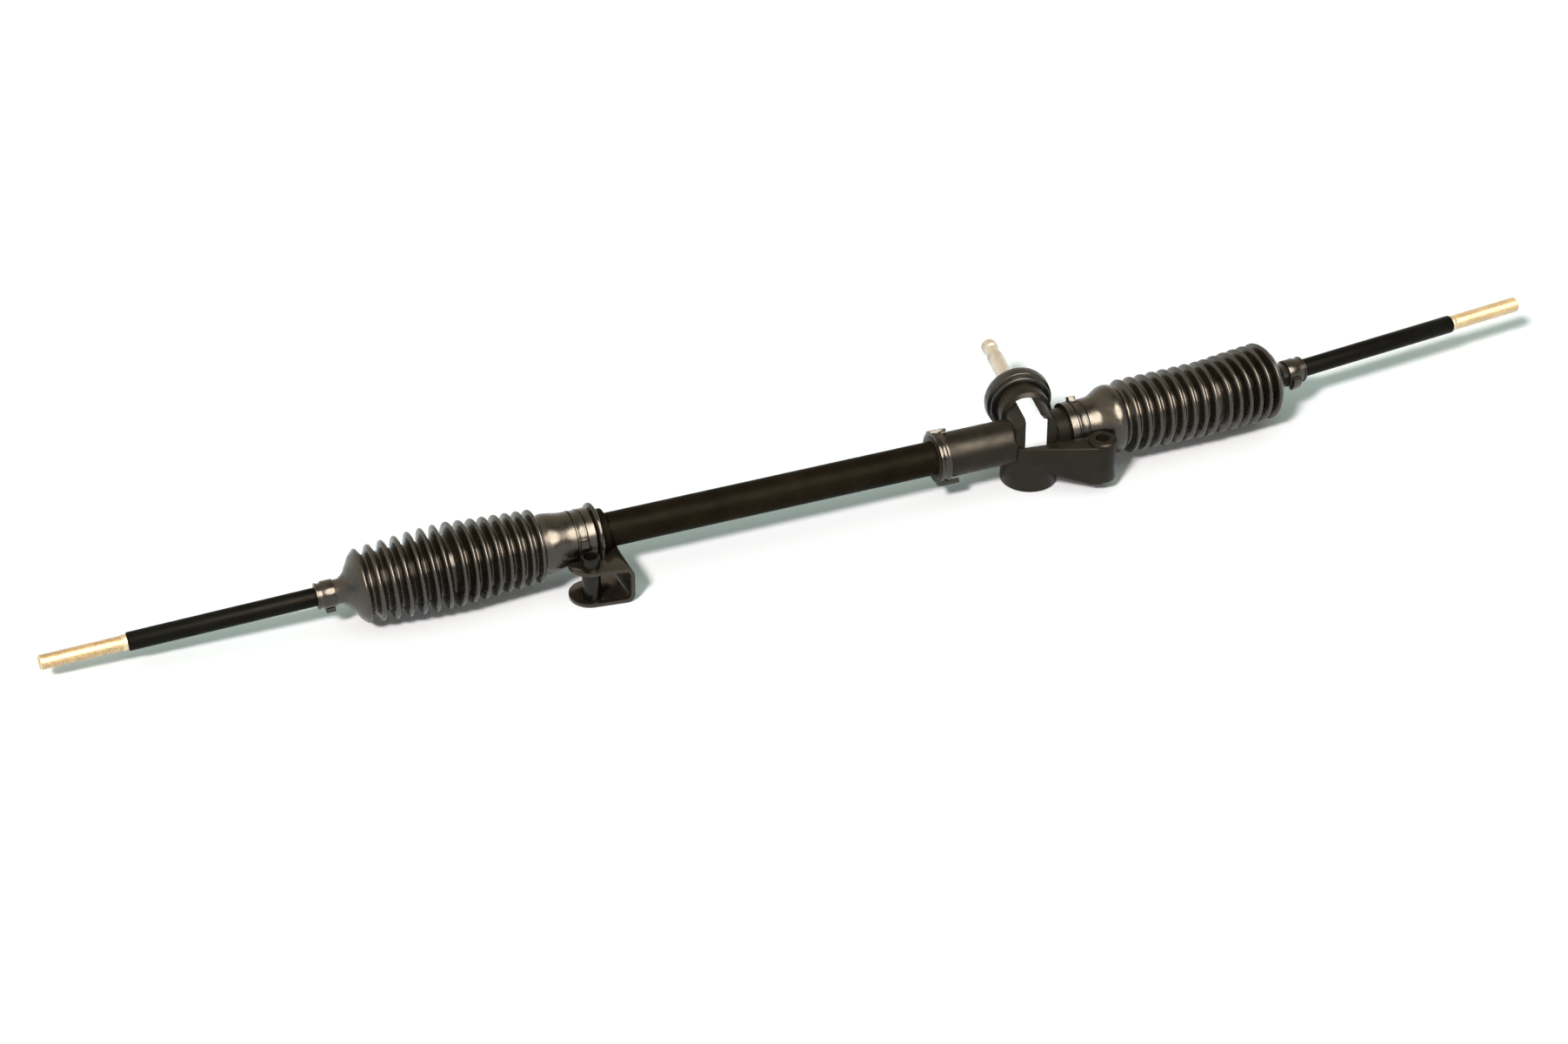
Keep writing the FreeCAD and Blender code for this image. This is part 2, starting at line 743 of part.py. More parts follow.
def make_socket(ball, side):
    inner = joint_ball_r + seat_thick + 2 * joint_play
    rim_station = math.sqrt(inner ** 2 - socket_open_r ** 2)
    back = -socket_length
    body = turned([(back, 0), (back, socket_r - socket_chamfer), (back + socket_chamfer, socket_r),
                   (socket_rim - socket_nose, socket_r), (socket_rim, socket_r - socket_nose),
                   (socket_rim, socket_open_r + 0.6), (rim_station, socket_open_r),
                   (rim_station - 2.0, 0)], ball, V(side, 0, 0))
    body = body.cut(sphere(inner, ball, V(side, 0, 0)))
    body = body.cut(cylinder(stub_r, socket_length - stub_length, socket_length + 1, ball,
                             V(-side, 0, 0)))
    flats = box(back + 1, back + 1 + wrench_length, -reach, reach, -reach, reach)
    keep = box(back, 0, -wrench_flat, wrench_flat, -reach, reach)
    flats = flats.cut(keep)
    if side < 0:
        flats = flats.mirror(centre, along_x)
    flats.translate(ball)
    return body.cut(flats)


def make_seat(ball, direction):
    outer = sphere(joint_ball_r + seat_thick + joint_play, ball, direction)
    inner = sphere(joint_ball_r + joint_play, ball, direction)
    station = math.sqrt(joint_ball_r ** 2 - seat_open_r ** 2)
    past = joint_ball_r + seat_thick + 1.0
    opening = turned([(0, 0), (0, seat_open_r - 2.2), (station, seat_open_r),
                      (past, seat_open_r + seat_flare), (past, 0)], ball, direction)
    return outer.cut(inner).cut(opening)


def make_tie_rod(ball, direction):
    ball_solid = sphere(joint_ball_r, ball, direction)
    thread_start = rod_length - rod_thread_length
    edge = rod_end_chamfer
    return turned([(joint_ball_r / 2, 0), (joint_ball_r / 2, rod_neck_r), (rod_neck_length, rod_neck_r),
                   (rod_neck_length + rod_neck_rise, rod_r), (thread_start - 5 * edge, rod_r),
                   (thread_start - 4 * edge, rod_thread_r), (rod_length - edge, rod_thread_r),
                   (rod_length, rod_thread_r - edge), (rod_length, 0)],
                  ball, direction).fuse(ball_solid)


def fold_radius(away, count, middle, end):
    """Crest radius of a fold counted from the ball centre, falling from middle to end."""
    t = away / (count - 1.0)
    return middle + (end - middle) * t ** crest_bulge


def boot_profile(body_end, half_span, pitch, inner_count, outer_count, neck_start, neck_end, crest):
    """Outer outline in two halves, stations counted outward from the ball centre."""
    slope = (crest[1] - boot_fold_low_r) / (pitch / 2)
    valley_r = boot_fold_low_r + fold_low_rise
    seam = (mitre_length, boot_fold_low_r + slope * mitre_length)
    seat_r = boot_lip_r - band_seat_deep
    start = -half_span
    inner = [(start, boot_lip_r), (start + band_seat_start - 0.5, boot_lip_r),
             (start + band_seat_start, seat_r), (start + band_seat_end, seat_r),
             (start + band_seat_end + 0.5, boot_lip_r), (start + clamp_zone, boot_lip_r)]
    inner += body_end
    for k in range(inner_count):
        at = -(inner_count - k - 0.5) * pitch
        inner.append((at, fold_radius(inner_count - 1 - k, inner_count, crest[1], crest[0])))
        if k < inner_count - 1:
            inner.append((at + pitch / 2, valley_r))
    inner += [(0, boot_fold_low_r), seam]
    outer = [(-seam[0], seam[1]), (0, boot_fold_low_r)]
    for k in range(outer_count):
        at = (k + 0.5) * pitch
        outer.append((at, fold_radius(k, outer_count, crest[1], crest[2])))
        if k < outer_count - 1:
            outer.append((at + pitch / 2, valley_r))
    outer += [(neck_start, boot_neck_r + 1.6), (neck_start + 2.5, boot_neck_r),
              (neck_end, boot_neck_r)]
    return inner, outer


def shell_points(outline, bore):
    """Outline plus the same outline one wall nearer the axis, never under the bore."""
    back = [(s, max(r - boot_wall, b)) for (s, r), b in zip(outline, bore)]
    return outline + list(reversed(back))


def make_boot(ball, side, direction, half_span, pitch, folds, neck, crest, body_end):
    inner, outer = boot_profile(body_end, half_span, pitch, folds[0], folds[1], neck[0], neck[1],
                                crest)
    bore_in = [neck_r if s < -half_span + clamp_zone + 1 else 0 for s, r in inner]
    bore_out = [rod_r + neck_play for s, r in outer]
    axis_in = V(side, 0, 0)
    first = turned(shell_points(inner, bore_in), ball, axis_in)
    second = turned(shell_points(outer, bore_out), ball, direction)
    return mitred(first, second, ball, axis_in, direction)


def mitred(first, second, ball, axis_in, axis_out):
    """Joins two turned halves on the plane that halves the angle of their axes."""
    normal = (axis_in + axis_out).normalize()
    cutter = Part.makeBox(2 * reach, 2 * reach, 2 * reach, V(0, -reach, -reach))
    cutter.Placement = FreeCAD.Placement(ball, FreeCAD.Rotation(along_x, normal))
    return first.cut(cutter).fuse(second.common(cutter))


def make_big_clamp(end_x, side, ear_turn):
    """Band with a raised rib along each edge and a crimped ear."""
    at = V(end_x, 0, 0)
    out = V(side, 0, 0)
    r = boot_lip_r - band_seat_deep
    end = band_inset + band_width
    top = r + band_thick
    rib = top + band_rib / 2
    band = turned([(band_inset, r), (end, r), (end, rib), (end - band_rib, rib),
                   (end - band_rib, top), (band_inset + band_rib, top), (band_inset + band_rib, rib),
                   (band_inset, rib)], at, out)
    half = band_ear_length / 2
    ear = box(-half, half, -band_ear_half, band_ear_half, r + band_thick / 2, r + band_ear_height)
    ear.rotate(centre, along_x, ear_turn)
    ear.translate(V(end_x + side * (band_inset + band_width / 2), 0, 0))
    body = band.fuse(ear)
    return body.cut(cylinder(r, 0, reach, at, out)).removeSplitter()


def make_clip(ball, direction, neck_start, turn):
    """Thin band round the boot's small end with its crimp block."""
    start = neck_start + clip_inset
    end = start + clip_length
    band = hollow(boot_neck_r + clip_thick, boot_neck_r, start, end, ball, direction)
    half = clip_block_half
    block = box(start + clip_thick, end - clip_thick, -half, half, boot_neck_r, clip_block_r)
    block = block.common(cylinder(clip_block_r, start, end, centre, along_x))
    block.rotate(centre, along_x, turn)
    seat = FreeCAD.Placement(ball, FreeCAD.Rotation(along_x, direction))
    block.Placement = seat.multiply(block.Placement)
    body = band.fuse(block)
    return body.cut(cylinder(boot_neck_r, start - 1, end + 1, ball, direction))


def make_left_boot():
    folds = (left_inner_fold_count, left_outer_fold_count)
    crests = (left_inner_crest_r, left_middle_crest_r, left_outer_crest_r)
    end = -folds[0] * left_pitch
    return make_boot(left_ball, -1, left_dir, left_boot_x - ball_left_x, left_pitch, folds,
                     (left_neck_start, left_neck_end), crests,
                     [(end, boot_collar_r + left_shoulder_rise)])


def make_right_boot():
    folds = (right_inner_fold_count, right_outer_fold_count)
    crests = (right_inner_crest_r, right_middle_crest_r, right_outer_crest_r)
    end = -folds[0] * right_pitch
    return make_boot(right_ball, 1, right_dir, ball_right_x - right_boot_x, right_pitch, folds,
                     (right_neck_start, right_neck_end), crests,
                     [(end - flare_length, boot_collar_r + right_shoulder_rise),
                      (end - flare_top_length, flare_r), (end - flare_end_gap, flare_r)])


def all_parts():
    return {
        "pinion_housing": make_housing(),
        "rack_tube": make_tube(),
        "tube_end_sleeve": make_end_sleeve(),
        "rack_bush": make_rack_bush(),
        "tube_bracket": make_bracket(),
        "bracket_spacer": make_spacer(),
        "ring_clamp": make_ring_clamp(),
        "bearing_outer_race": make_bearing_race(True),
        "bearing_inner_race": make_bearing_race(False),
        "bearing_balls": make_bearing_balls(),
        "pinion_lower_bush": make_lower_bush(),
        "pinion_circlip": make_circlip(),
        "pinion_seal": make_seal(),
        "pinion_dust_cap": make_dust_cap(),
        "pinion_shaft": make_pinion(),
        "rack_guide": make_yoke(),
        "guide_liner": make_liner(),
        "guide_ring": make_yoke_ring(),
        "guide_spring": make_spring(),
        "guide_plug": make_plug(),
        "rack_bar": make_rack_bar(),
        "left_lock_washer": make_washer(left_ball, -1),
        "right_lock_washer": make_washer(right_ball, 1),
        "left_socket": make_socket(left_ball, -1),
        "right_socket": make_socket(right_ball, 1),
        "left_ball_seat": make_seat(left_ball, left_dir),
        "right_ball_seat": make_seat(right_ball, right_dir),
        "left_tie_rod": make_tie_rod(left_ball, left_dir),
        "right_tie_rod": make_tie_rod(right_ball, right_dir),
        "left_boot": make_left_boot(),
        "right_boot": make_right_boot(),
        "left_boot_clamp": make_big_clamp(left_boot_x, -1, left_ear_turn),
        "right_boot_clamp": make_big_clamp(right_boot_x, 1, right_ear_turn),
        "left_boot_clip": make_clip(left_ball, left_dir, left_neck_start, left_clip_turn),
        "right_boot_clip": make_clip(right_ball, right_dir, right_neck_start, right_clip_turn),
    }


os.makedirs("parts", exist_ok=True)
home = V(-lug_x, -lug_y, -lug_bottom)
for name, shape in all_parts().items():
    shape.translate(home)
    shape.exportStep("parts/" + name + ".step")
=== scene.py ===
import json
import math

import bpy
from bpy.props import FloatProperty, FloatVectorProperty, IntProperty, PointerProperty
from mathutils import Matrix, Vector

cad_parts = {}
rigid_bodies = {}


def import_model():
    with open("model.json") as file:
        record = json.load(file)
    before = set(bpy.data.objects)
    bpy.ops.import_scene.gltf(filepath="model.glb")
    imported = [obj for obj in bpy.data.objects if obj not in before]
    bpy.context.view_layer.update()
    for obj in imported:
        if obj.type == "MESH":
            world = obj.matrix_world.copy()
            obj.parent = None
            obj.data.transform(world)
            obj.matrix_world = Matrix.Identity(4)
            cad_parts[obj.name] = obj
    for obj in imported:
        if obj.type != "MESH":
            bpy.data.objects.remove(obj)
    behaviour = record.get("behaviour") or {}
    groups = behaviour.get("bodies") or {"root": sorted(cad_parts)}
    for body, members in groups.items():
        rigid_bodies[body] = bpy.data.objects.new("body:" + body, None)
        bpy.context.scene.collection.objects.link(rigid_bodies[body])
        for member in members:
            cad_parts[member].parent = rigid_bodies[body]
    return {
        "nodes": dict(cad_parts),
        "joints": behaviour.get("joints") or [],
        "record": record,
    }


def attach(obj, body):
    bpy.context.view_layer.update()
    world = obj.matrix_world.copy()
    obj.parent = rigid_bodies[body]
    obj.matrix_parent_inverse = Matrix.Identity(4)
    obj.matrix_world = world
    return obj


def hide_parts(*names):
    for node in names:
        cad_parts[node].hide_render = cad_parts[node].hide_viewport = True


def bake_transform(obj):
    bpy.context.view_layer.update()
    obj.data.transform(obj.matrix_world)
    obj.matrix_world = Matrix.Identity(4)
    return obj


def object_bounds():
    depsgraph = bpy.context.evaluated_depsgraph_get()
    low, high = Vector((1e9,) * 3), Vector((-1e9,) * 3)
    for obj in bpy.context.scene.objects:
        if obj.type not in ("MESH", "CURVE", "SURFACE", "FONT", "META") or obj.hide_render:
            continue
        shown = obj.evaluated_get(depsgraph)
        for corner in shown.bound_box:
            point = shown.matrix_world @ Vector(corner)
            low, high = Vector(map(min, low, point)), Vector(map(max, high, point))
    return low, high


bl_info = {
    "name": "Steering Rack Dressing",
    "version": (1, 0, 0),
    "blender": (4, 5, 0),
    "location": "3D View > Sidebar > Steering Rack",
    "description": "Dresses the packed steering rack with boots, threaded rods, finishes and a stage",
    "category": "Object",
}

MM = 0.001
CORNER_MERGE = 0.001 * MM
TURNED_MERGE = 0.002 * MM
EASED_ANGLE = 32.0
WARM_SHEEN = (1.0, 0.93, 0.83, 1.0)
BALL_RADIUS = 11.0 * MM
THREAD_RADIUS = 6.0 * MM
ROD_GAP = 0.3 * MM
BARREL_RADIUS = 17.0 * MM
BARREL_EDGE = 1.5 * MM
BARREL_FRONT = -20.0 * MM
LABEL_GAP = 0.06 * MM
LABEL_ASIDE = 1.2 * MM
LARGE_END_BORE = 17.25 * MM
LARGE_END_SEAT = 21.0 * MM
ROOM_RADIUS = 30.0
WALL_HEIGHT = 7.0

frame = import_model()
cad_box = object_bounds()
nodes = frame["nodes"]
joints = {j["name"]: j for j in frame["joints"]}

left_ball = Vector(joints["left_rod_fore_aft"]["pos_m"])
right_ball = Vector(joints["right_rod_fore_aft"]["pos_m"])
left_along = Vector(joints["left_rod_spin"]["axis"]).normalized()
right_along = Vector(joints["right_rod_spin"]["axis"]).normalized()
pinion_at = Vector(joints["pinion_turn"]["pos_m"])
pinion_along = Vector(joints["pinion_turn"]["axis"]).normalized()
UP = Vector((0.0, 0.0, 1.0))
ACROSS = Vector((1.0, 0.0, 0.0))


# Sizes and colours that the panel's scene properties hold


def colour_prop(name, description, default):
    """Linear colour from nought to one."""
    return FloatVectorProperty(name=name, description=description, default=default, size=3,
                               min=0.0, max=1.0, subtype="COLOR")


def length_prop(name, description, millimetres):
    """Length in metres whose default is written in millimetres."""
    return FloatProperty(name=name, description=description, default=millimetres * MM,
                         unit="LENGTH", subtype="DISTANCE", precision=5)


class FinishSettings(bpy.types.PropertyGroup):
    casting: colour_prop("Casting paint", "Black paint on the pinion housing", (0.0105, 0.0083, 0.0052))
    tube: colour_prop("Tube paint", "Black paint on the tube and sleeve", (0.0105, 0.0075, 0.0038))
    bracket: colour_prop("Bracket paint", "Black paint on the bracket", (0.013, 0.010, 0.0065))
    rod: colour_prop("Rod coating", "Black coating of the tie rods", (0.0045, 0.0045, 0.0035))
    rubber: colour_prop("Boot rubber", "Rubber of the folded boots", (0.0045, 0.0037, 0.0024))
    cap: colour_prop("Cap rubber", "Rubber of the dust cap", (0.006, 0.006, 0.0054))
    band: colour_prop("Band steel", "Coated steel of the clamps", (0.012, 0.010, 0.0075))
    zinc: colour_prop("Thread zinc", "Yellow zinc on the rod threads", (0.70, 0.58, 0.40))
    steel: colour_prop("Bright steel", "Machined steel of the input shaft", (0.70, 0.66, 0.59))
    label: colour_prop("Label", "Blank label on the pinion housing", (0.93, 0.93, 0.925))


class BootSettings(bpy.types.PropertyGroup):
    valley: length_prop("Valley radius", "Outer radius between two folds", 22.4)
    seam: length_prop("Seam radius", "Outer radius of the valley over the ball joint", 22.0)
    wall: length_prop("Wall", "Thickness of the rubber", 1.7)
    neck: length_prop("Neck radius", "Outer radius of the small end", 9.4)
    lip: length_prop("Lip radius", "Outer radius of the large end", 20.3)
    left_inner: length_prop("Left inner pitch", "Fold width of the left boot at the tube", 8.25)
    left_outer: length_prop("Left outer pitch", "Fold width of the left boot at the rod", 10.5)
    right_inner: length_prop("Right inner pitch", "Fold width of the right boot at the tube", 9.77)
    right_outer: length_prop("Right outer pitch", "Fold width of the right boot at the rod", 8.82)
    turns: IntProperty(name="Steps", description="Faces round a boot", default=96, min=24, max=192)


class RodSettings(bpy.types.PropertyGroup):
    pitch: length_prop("Thread pitch", "Rise of the thread in one turn", 1.5)
    depth: length_prop("Thread depth", "Height of the thread over its core", 0.86)
    thread: length_prop("Thread length", "Length of the threaded end", 60.0)
    radius: length_prop("Rod radius", "Radius of the bar", 7.0)
    neck: length_prop("Neck radius", "Radius of the bar next to the ball", 5.6)
    length: length_prop("Rod length", "Ball centre to rod end", 297.0)


class LabelSettings(bpy.types.PropertyGroup):
    width: length_prop("Width", "Width of the label", 16.8)
    low: length_prop("Lower edge", "Lower edge below the pinion axis", 12.6)
    back: length_prop("Rear edge", "Rear edge behind the barrel's front face", 27.5)
    thick: length_prop("Thickness", "Thickness of the label", 0.16)


class StageSettings(bpy.types.PropertyGroup):
    azimuth: FloatProperty(name="Azimuth", description="Turn of the camera about the vertical",
                           default=math.radians(21.8), subtype="ANGLE")
    elevation: FloatProperty(name="Elevation", description="Height angle of the camera",
                             default=math.radians(34.0), subtype="ANGLE")
    distance: FloatProperty(name="Distance", description="Camera to the rack axis", default=3.16,
                            unit="LENGTH")
    drop: FloatProperty(name="Drop", description="How far the aim lies below the rack axis on screen",
                        default=0.0233, unit="LENGTH")
    shift: FloatProperty(name="Shift", description="Aim along the rack from the middle of the two balls",
                         default=-0.04025, unit="LENGTH")
    lens: FloatProperty(name="Lens", description="Focal length in millimetres for a 36 mm sensor",
                        default=96.84)
    key: FloatProperty(name="Key", description="Strength of the key light", default=3.42, min=0.0)
    gloss: FloatProperty(name="Gloss", description="Strength of the light for highlights",
                         default=8.5, min=0.0)
    ambient: colour_prop("Ambient", "Light from all round", (0.05, 0.055, 0.052))
    ceiling: colour_prop("Ceiling", "Light from overhead", (0.58, 0.73, 0.66))
    dim: colour_prop("Front", "Mirrored tone of the room in front", (0.15, 0.155, 0.14))
    warm: colour_prop("Backdrop", "Mirrored tone of the room beyond the rack", (0.78, 0.66, 0.48))
    soft: FloatVectorProperty(name="Soft box", description="Mirrored tone of the wide light at the left",
                              size=3, default=(1.15, 1.0, 0.8), min=0.0, max=4.0, subtype="COLOR")


# Steps that every piece shares


def select_only(obj):
    """Leaves one object selected and active."""
    bpy.ops.object.select_all(action="DESELECT")
    obj.select_set(True)
    bpy.context.view_layer.objects.active = obj


def edit(obj):
    """Opens an object for vertex work."""
    select_only(obj)
    bpy.ops.object.mode_set(mode="EDIT")
    bpy.ops.mesh.select_mode(type="VERT")


def leave():
    """Back to object mode."""
    bpy.ops.object.mode_set(mode="OBJECT")


def chain(name, points):
    """Open chain of edges, extruded from corner to corner."""
    bpy.ops.object.select_all(action="DESELECT")
    bpy.ops.mesh.primitive_plane_add(size=MM, location=points[0])
    obj = bpy.context.active_object
    obj.name = name
    obj.data.name = name
    bpy.ops.object.transform_apply(location=True, rotation=True, scale=True)
    edit(obj)
    bpy.ops.mesh.select_all(action="SELECT")
    bpy.ops.mesh.merge(type="CENTER")
    for a, b in zip(points, points[1:]):
        bpy.ops.mesh.extrude_region_move(TRANSFORM_OT_translate={"value": b - a})
    leave()
    return obj


def side_of(axis):
    """Direction square to the axis and as near to upright as it can be."""
    return (UP - axis * UP.dot(axis)).normalized()


def turned(name, profile, centre, axis, steps):
    """Piece of revolution from (station, radius) pairs along an axis."""
    side = side_of(axis)
    obj = chain(name, [centre + axis * s + side * r for s, r in profile])
    edit(obj)
    bpy.ops.mesh.select_all(action="SELECT")
    bpy.ops.mesh.spin(steps=steps, angle=2.0 * math.pi, center=centre, axis=axis)
    bpy.ops.mesh.select_all(action="SELECT")
    bpy.ops.mesh.remove_doubles(threshold=TURNED_MERGE)
    bpy.ops.mesh.normals_make_consistent(inside=False)
    leave()
    return obj


def recalculate(obj):
    """Turns every face outwards."""
    edit(obj)
    bpy.ops.mesh.select_all(action="SELECT")
    bpy.ops.mesh.normals_make_consistent(inside=False)
    leave()


def smooth(obj, degrees):
    """Smooth shading, with edges sharper than the angle kept crisp."""
    select_only(obj)
    bpy.ops.object.shade_smooth_by_angle(angle=math.radians(degrees))


def apply_all(obj):
    """Applies the modifiers in their order."""
    select_only(obj)
    for modifier in list(obj.modifiers):
        bpy.ops.object.modifier_apply(modifier=modifier.name)


def join_pieces(first, second):
    """Joins the second piece into the first."""
    bpy.ops.object.select_all(action="DESELECT")
    second.select_set(True)
    first.select_set(True)
    bpy.context.view_layer.objects.active = first
    bpy.ops.object.join()
    return first


def eased_copy(node, width):
    """Copy of a CAD piece with merged corners and edges eased by a width in millimetres."""
    mesh = nodes[node].data.copy()
    obj = bpy.data.objects.new(node + "_eased", mesh)
    bpy.context.scene.collection.objects.link(obj)
    edit(obj)
    bpy.ops.mesh.select_all(action="SELECT")
    bpy.ops.mesh.remove_doubles(threshold=CORNER_MERGE)
    bpy.ops.mesh.dissolve_limited(angle_limit=math.radians(0.4))
    leave()
    bevel = obj.modifiers.new("edges", "BEVEL")
    bevel.width = width * MM
    bevel.segments = 2
    bevel.limit_method = "ANGLE"
    bevel.angle_limit = math.radians(EASED_ANGLE)
    bevel.use_clamp_overlap = True
    apply_all(obj)
    smooth(obj, EASED_ANGLE)
    return obj


def finish_piece(obj, material, body=None, replaced=()):
    """Material, body and the nodes that the piece stands for."""
    obj.data.materials.clear()
    obj.data.materials.append(material)
    if body:
        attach(obj, body)
    if replaced:
        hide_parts(*replaced)


# Finishes


def new_material(name):
    """Material with its tree, its shader and the piece's own coordinates."""
    material = bpy.data.materials.new(name)
    material.use_nodes = True
    tree = material.node_tree
    shader = tree.nodes["Principled BSDF"]
    place = tree.nodes.new("ShaderNodeTexCoord")
    return material, tree, shader, place.outputs["Object"]


def noise(tree, place, scale, detail=4.0, rough=0.55):
    """Soft random pattern from nought to one."""
    node = tree.nodes.new("ShaderNodeTexNoise")
    node.inputs["Scale"].default_value = scale
    node.inputs["Detail"].default_value = detail
    node.inputs["Roughness"].default_value = rough
    tree.links.new(place, node.inputs["Vector"])
    return node.outputs["Fac"]


def ramp(tree, fac, stops):
    """Colour ramp from (position, colour) stops."""
    node = tree.nodes.new("ShaderNodeValToRGB")
    line = node.color_ramp.elements
    while len(line) < len(stops):
        line.new(0.5)
    for stop, (at, tint) in zip(line, stops):
        stop.position = at
        stop.color = (*tint, 1.0)
    tree.links.new(fac, node.inputs["Fac"])
    return node.outputs["Color"]


def spread(tree, fac, low, high, start=0.3, end=0.7):
    """Number that runs from low to high as fac runs from start to end."""
    node = tree.nodes.new("ShaderNodeMapRange")
    node.inputs["From Min"].default_value = start
    node.inputs["From Max"].default_value = end
    node.inputs["To Min"].default_value = low
    node.inputs["To Max"].default_value = high
    tree.links.new(fac, node.inputs["Value"])
    return node.outputs["Result"]


def bump(tree, shader, height, strength, distance):
    """Fine relief of the skin, seen in its reflections."""
    node = tree.nodes.new("ShaderNodeBump")
    node.inputs["Strength"].default_value = strength
    node.inputs["Distance"].default_value = distance
    tree.links.new(height, node.inputs["Height"])
    tree.links.new(node.outputs["Normal"], shader.inputs["Normal"])


def tinted(tint, factor):
    """The same tone, lighter or darker."""
    return tuple(min(1.0, c * factor) for c in tint)


def paint(name, tint, rough, grain, depth, specular, variation=0.35):
    """Black paint with uneven gloss, slow tone changes and a fine skin."""
    material, tree, shader, place = new_material(name)
    slow = noise(tree, place, 38.0, 3.0)
    tone = ramp(tree, slow, [(0.3, tinted(tint, 1.0 - variation)), (0.7, tinted(tint, 1.0 + variation))])
    tree.links.new(tone, shader.inputs["Base Color"])
    fine = noise(tree, place, grain, 3.0)
    gloss = spread(tree, noise(tree, place, 120.0), rough - 0.07, rough + 0.09)
    tree.links.new(gloss, shader.inputs["Roughness"])
    bump(tree, shader, fine, 0.35, depth * MM)
    shader.inputs["Specular IOR Level"].default_value = specular
    shader.inputs["Specular Tint"].default_value = WARM_SHEEN
    return material


def rubber(name, tint, rough, specular=0.3):
    """Moulded rubber with a faint bloom and fine skin."""
    material, tree, shader, place = new_material(name)
    slow = noise(tree, place, 60.0, 5.0, 0.65)
    tone = ramp(tree, slow, [(0.32, tinted(tint, 0.75)), (0.55, tint), (0.74, tinted(tint, 1.5))])
    tree.links.new(tone, shader.inputs["Base Color"])
    gloss = spread(tree, noise(tree, place, 160.0), rough - 0.06, rough + 0.1)
    tree.links.new(gloss, shader.inputs["Roughness"])
    bump(tree, shader, noise(tree, place, 700.0, 2.0), 0.1, 0.01 * MM)
    shader.inputs["Specular IOR Level"].default_value = specular
    shader.inputs["Specular Tint"].default_value = WARM_SHEEN
    return material


def metal(name, tint, rough, grain=900.0, depth=0.02, variation=0.12):
    """Bare or plated metal with fine uneven polish."""
    material, tree, shader, place = new_material(name)
    slow = noise(tree, place, 90.0, 4.0)
    tone = ramp(tree, slow, [(0.3, tinted(tint, 1.0 - variation)), (0.7, tinted(tint, 1.0 + variation))])
    tree.links.new(tone, shader.inputs["Base Color"])
    gloss = spread(tree, noise(tree, place, 300.0), rough - 0.06, rough + 0.08)
    tree.links.new(gloss, shader.inputs["Roughness"])
    bump(tree, shader, noise(tree, place, grain, 2.0), 0.3, depth * MM)
    shader.inputs["Metallic"].default_value = 1.0
    return material


def plastic(name, tint, rough):
    """Pale moulded plastic or paper with a soft mottle."""
    material, tree, shader, place = new_material(name)
    tone = ramp(tree, noise(tree, place, 140.0), [(0.3, tinted(tint, 0.97)), (0.7, tint)])
    tree.links.new(tone, shader.inputs["Base Color"])
    gloss = spread(tree, noise(tree, place, 420.0), rough - 0.05, rough + 0.05)
    tree.links.new(gloss, shader.inputs["Roughness"])
    bump(tree, shader, noise(tree, place, 2200.0, 2.0), 0.15, 0.02 * MM)
    return material


finishes = {}


def make_finishes(s):
    """Every finish, under its slot's name where the record has one."""
    finishes["casting_paint"] = paint("casting paint", s.casting, 0.40, 620.0, 0.12, 0.2)
    finishes["tube_paint"] = paint("tube paint", s.tube, 0.45, 480.0, 0.03, 0.02)
    finishes["bracket_paint"] = paint("bracket paint", s.bracket, 0.22, 520.0, 0.04, 0.6)
    finishes["rod_paint"] = paint("rod coating", s.rod, 0.40, 900.0, 0.04, 0.05)
    finishes["rubber"] = rubber("boot rubber", s.rubber, 0.26, 0.85)
    finishes["cap_rubber"] = rubber("cap rubber", s.cap, 0.3, 0.6)
    finishes["spacer"] = paint("spacer coating", s.rod, 0.24, 520.0, 0.03, 0.3)
    finishes["clamp_steel"] = paint("band coating", s.band, 0.22, 800.0, 0.03, 0.65)
    finishes["bright_steel"] = metal("machined steel", s.steel, 0.42)
    finishes["thread_zinc"] = metal("yellow zinc", s.zinc, 0.42, 1400.0, 0.02, 0.1)
    finishes["rack_steel"] = metal("ground steel", (0.56, 0.56, 0.56), 0.26)
    finishes["bearing_steel"] = metal("bearing steel", (0.75, 0.75, 0.77), 0.12)
    finishes["bronze"] = metal("sintered bronze", (0.72, 0.52, 0.28), 0.42)
    finishes["acetal"] = plastic("natural acetal", (0.84, 0.83, 0.79), 0.42)
    finishes["spring_steel"] = metal("dark spring steel", (0.34, 0.34, 0.35), 0.34)
    finishes["seal_rubber"] = rubber("seal rubber", (0.02, 0.02, 0.02), 0.5)
    finishes["label"] = plastic("label paper", s.label, 0.5)


class RACK_OT_finishes(bpy.types.Operator):
    """Makes every finish and gives the CAD pieces theirs"""
    bl_idname = "rack.finishes"
    bl_label = "Finishes"

    def execute(self, context):
        make_finishes(context.scene.rack_finish)
        slots = {p["node"]: p["material_slot"] for p in frame["record"]["subparts"]}
        for name, obj in nodes.items():
            obj.data.materials.clear()
            obj.data.materials.append(finishes[slots[name]])
            smooth(obj, 30.0)
        return {"FINISHED"}


# Castings and pressings

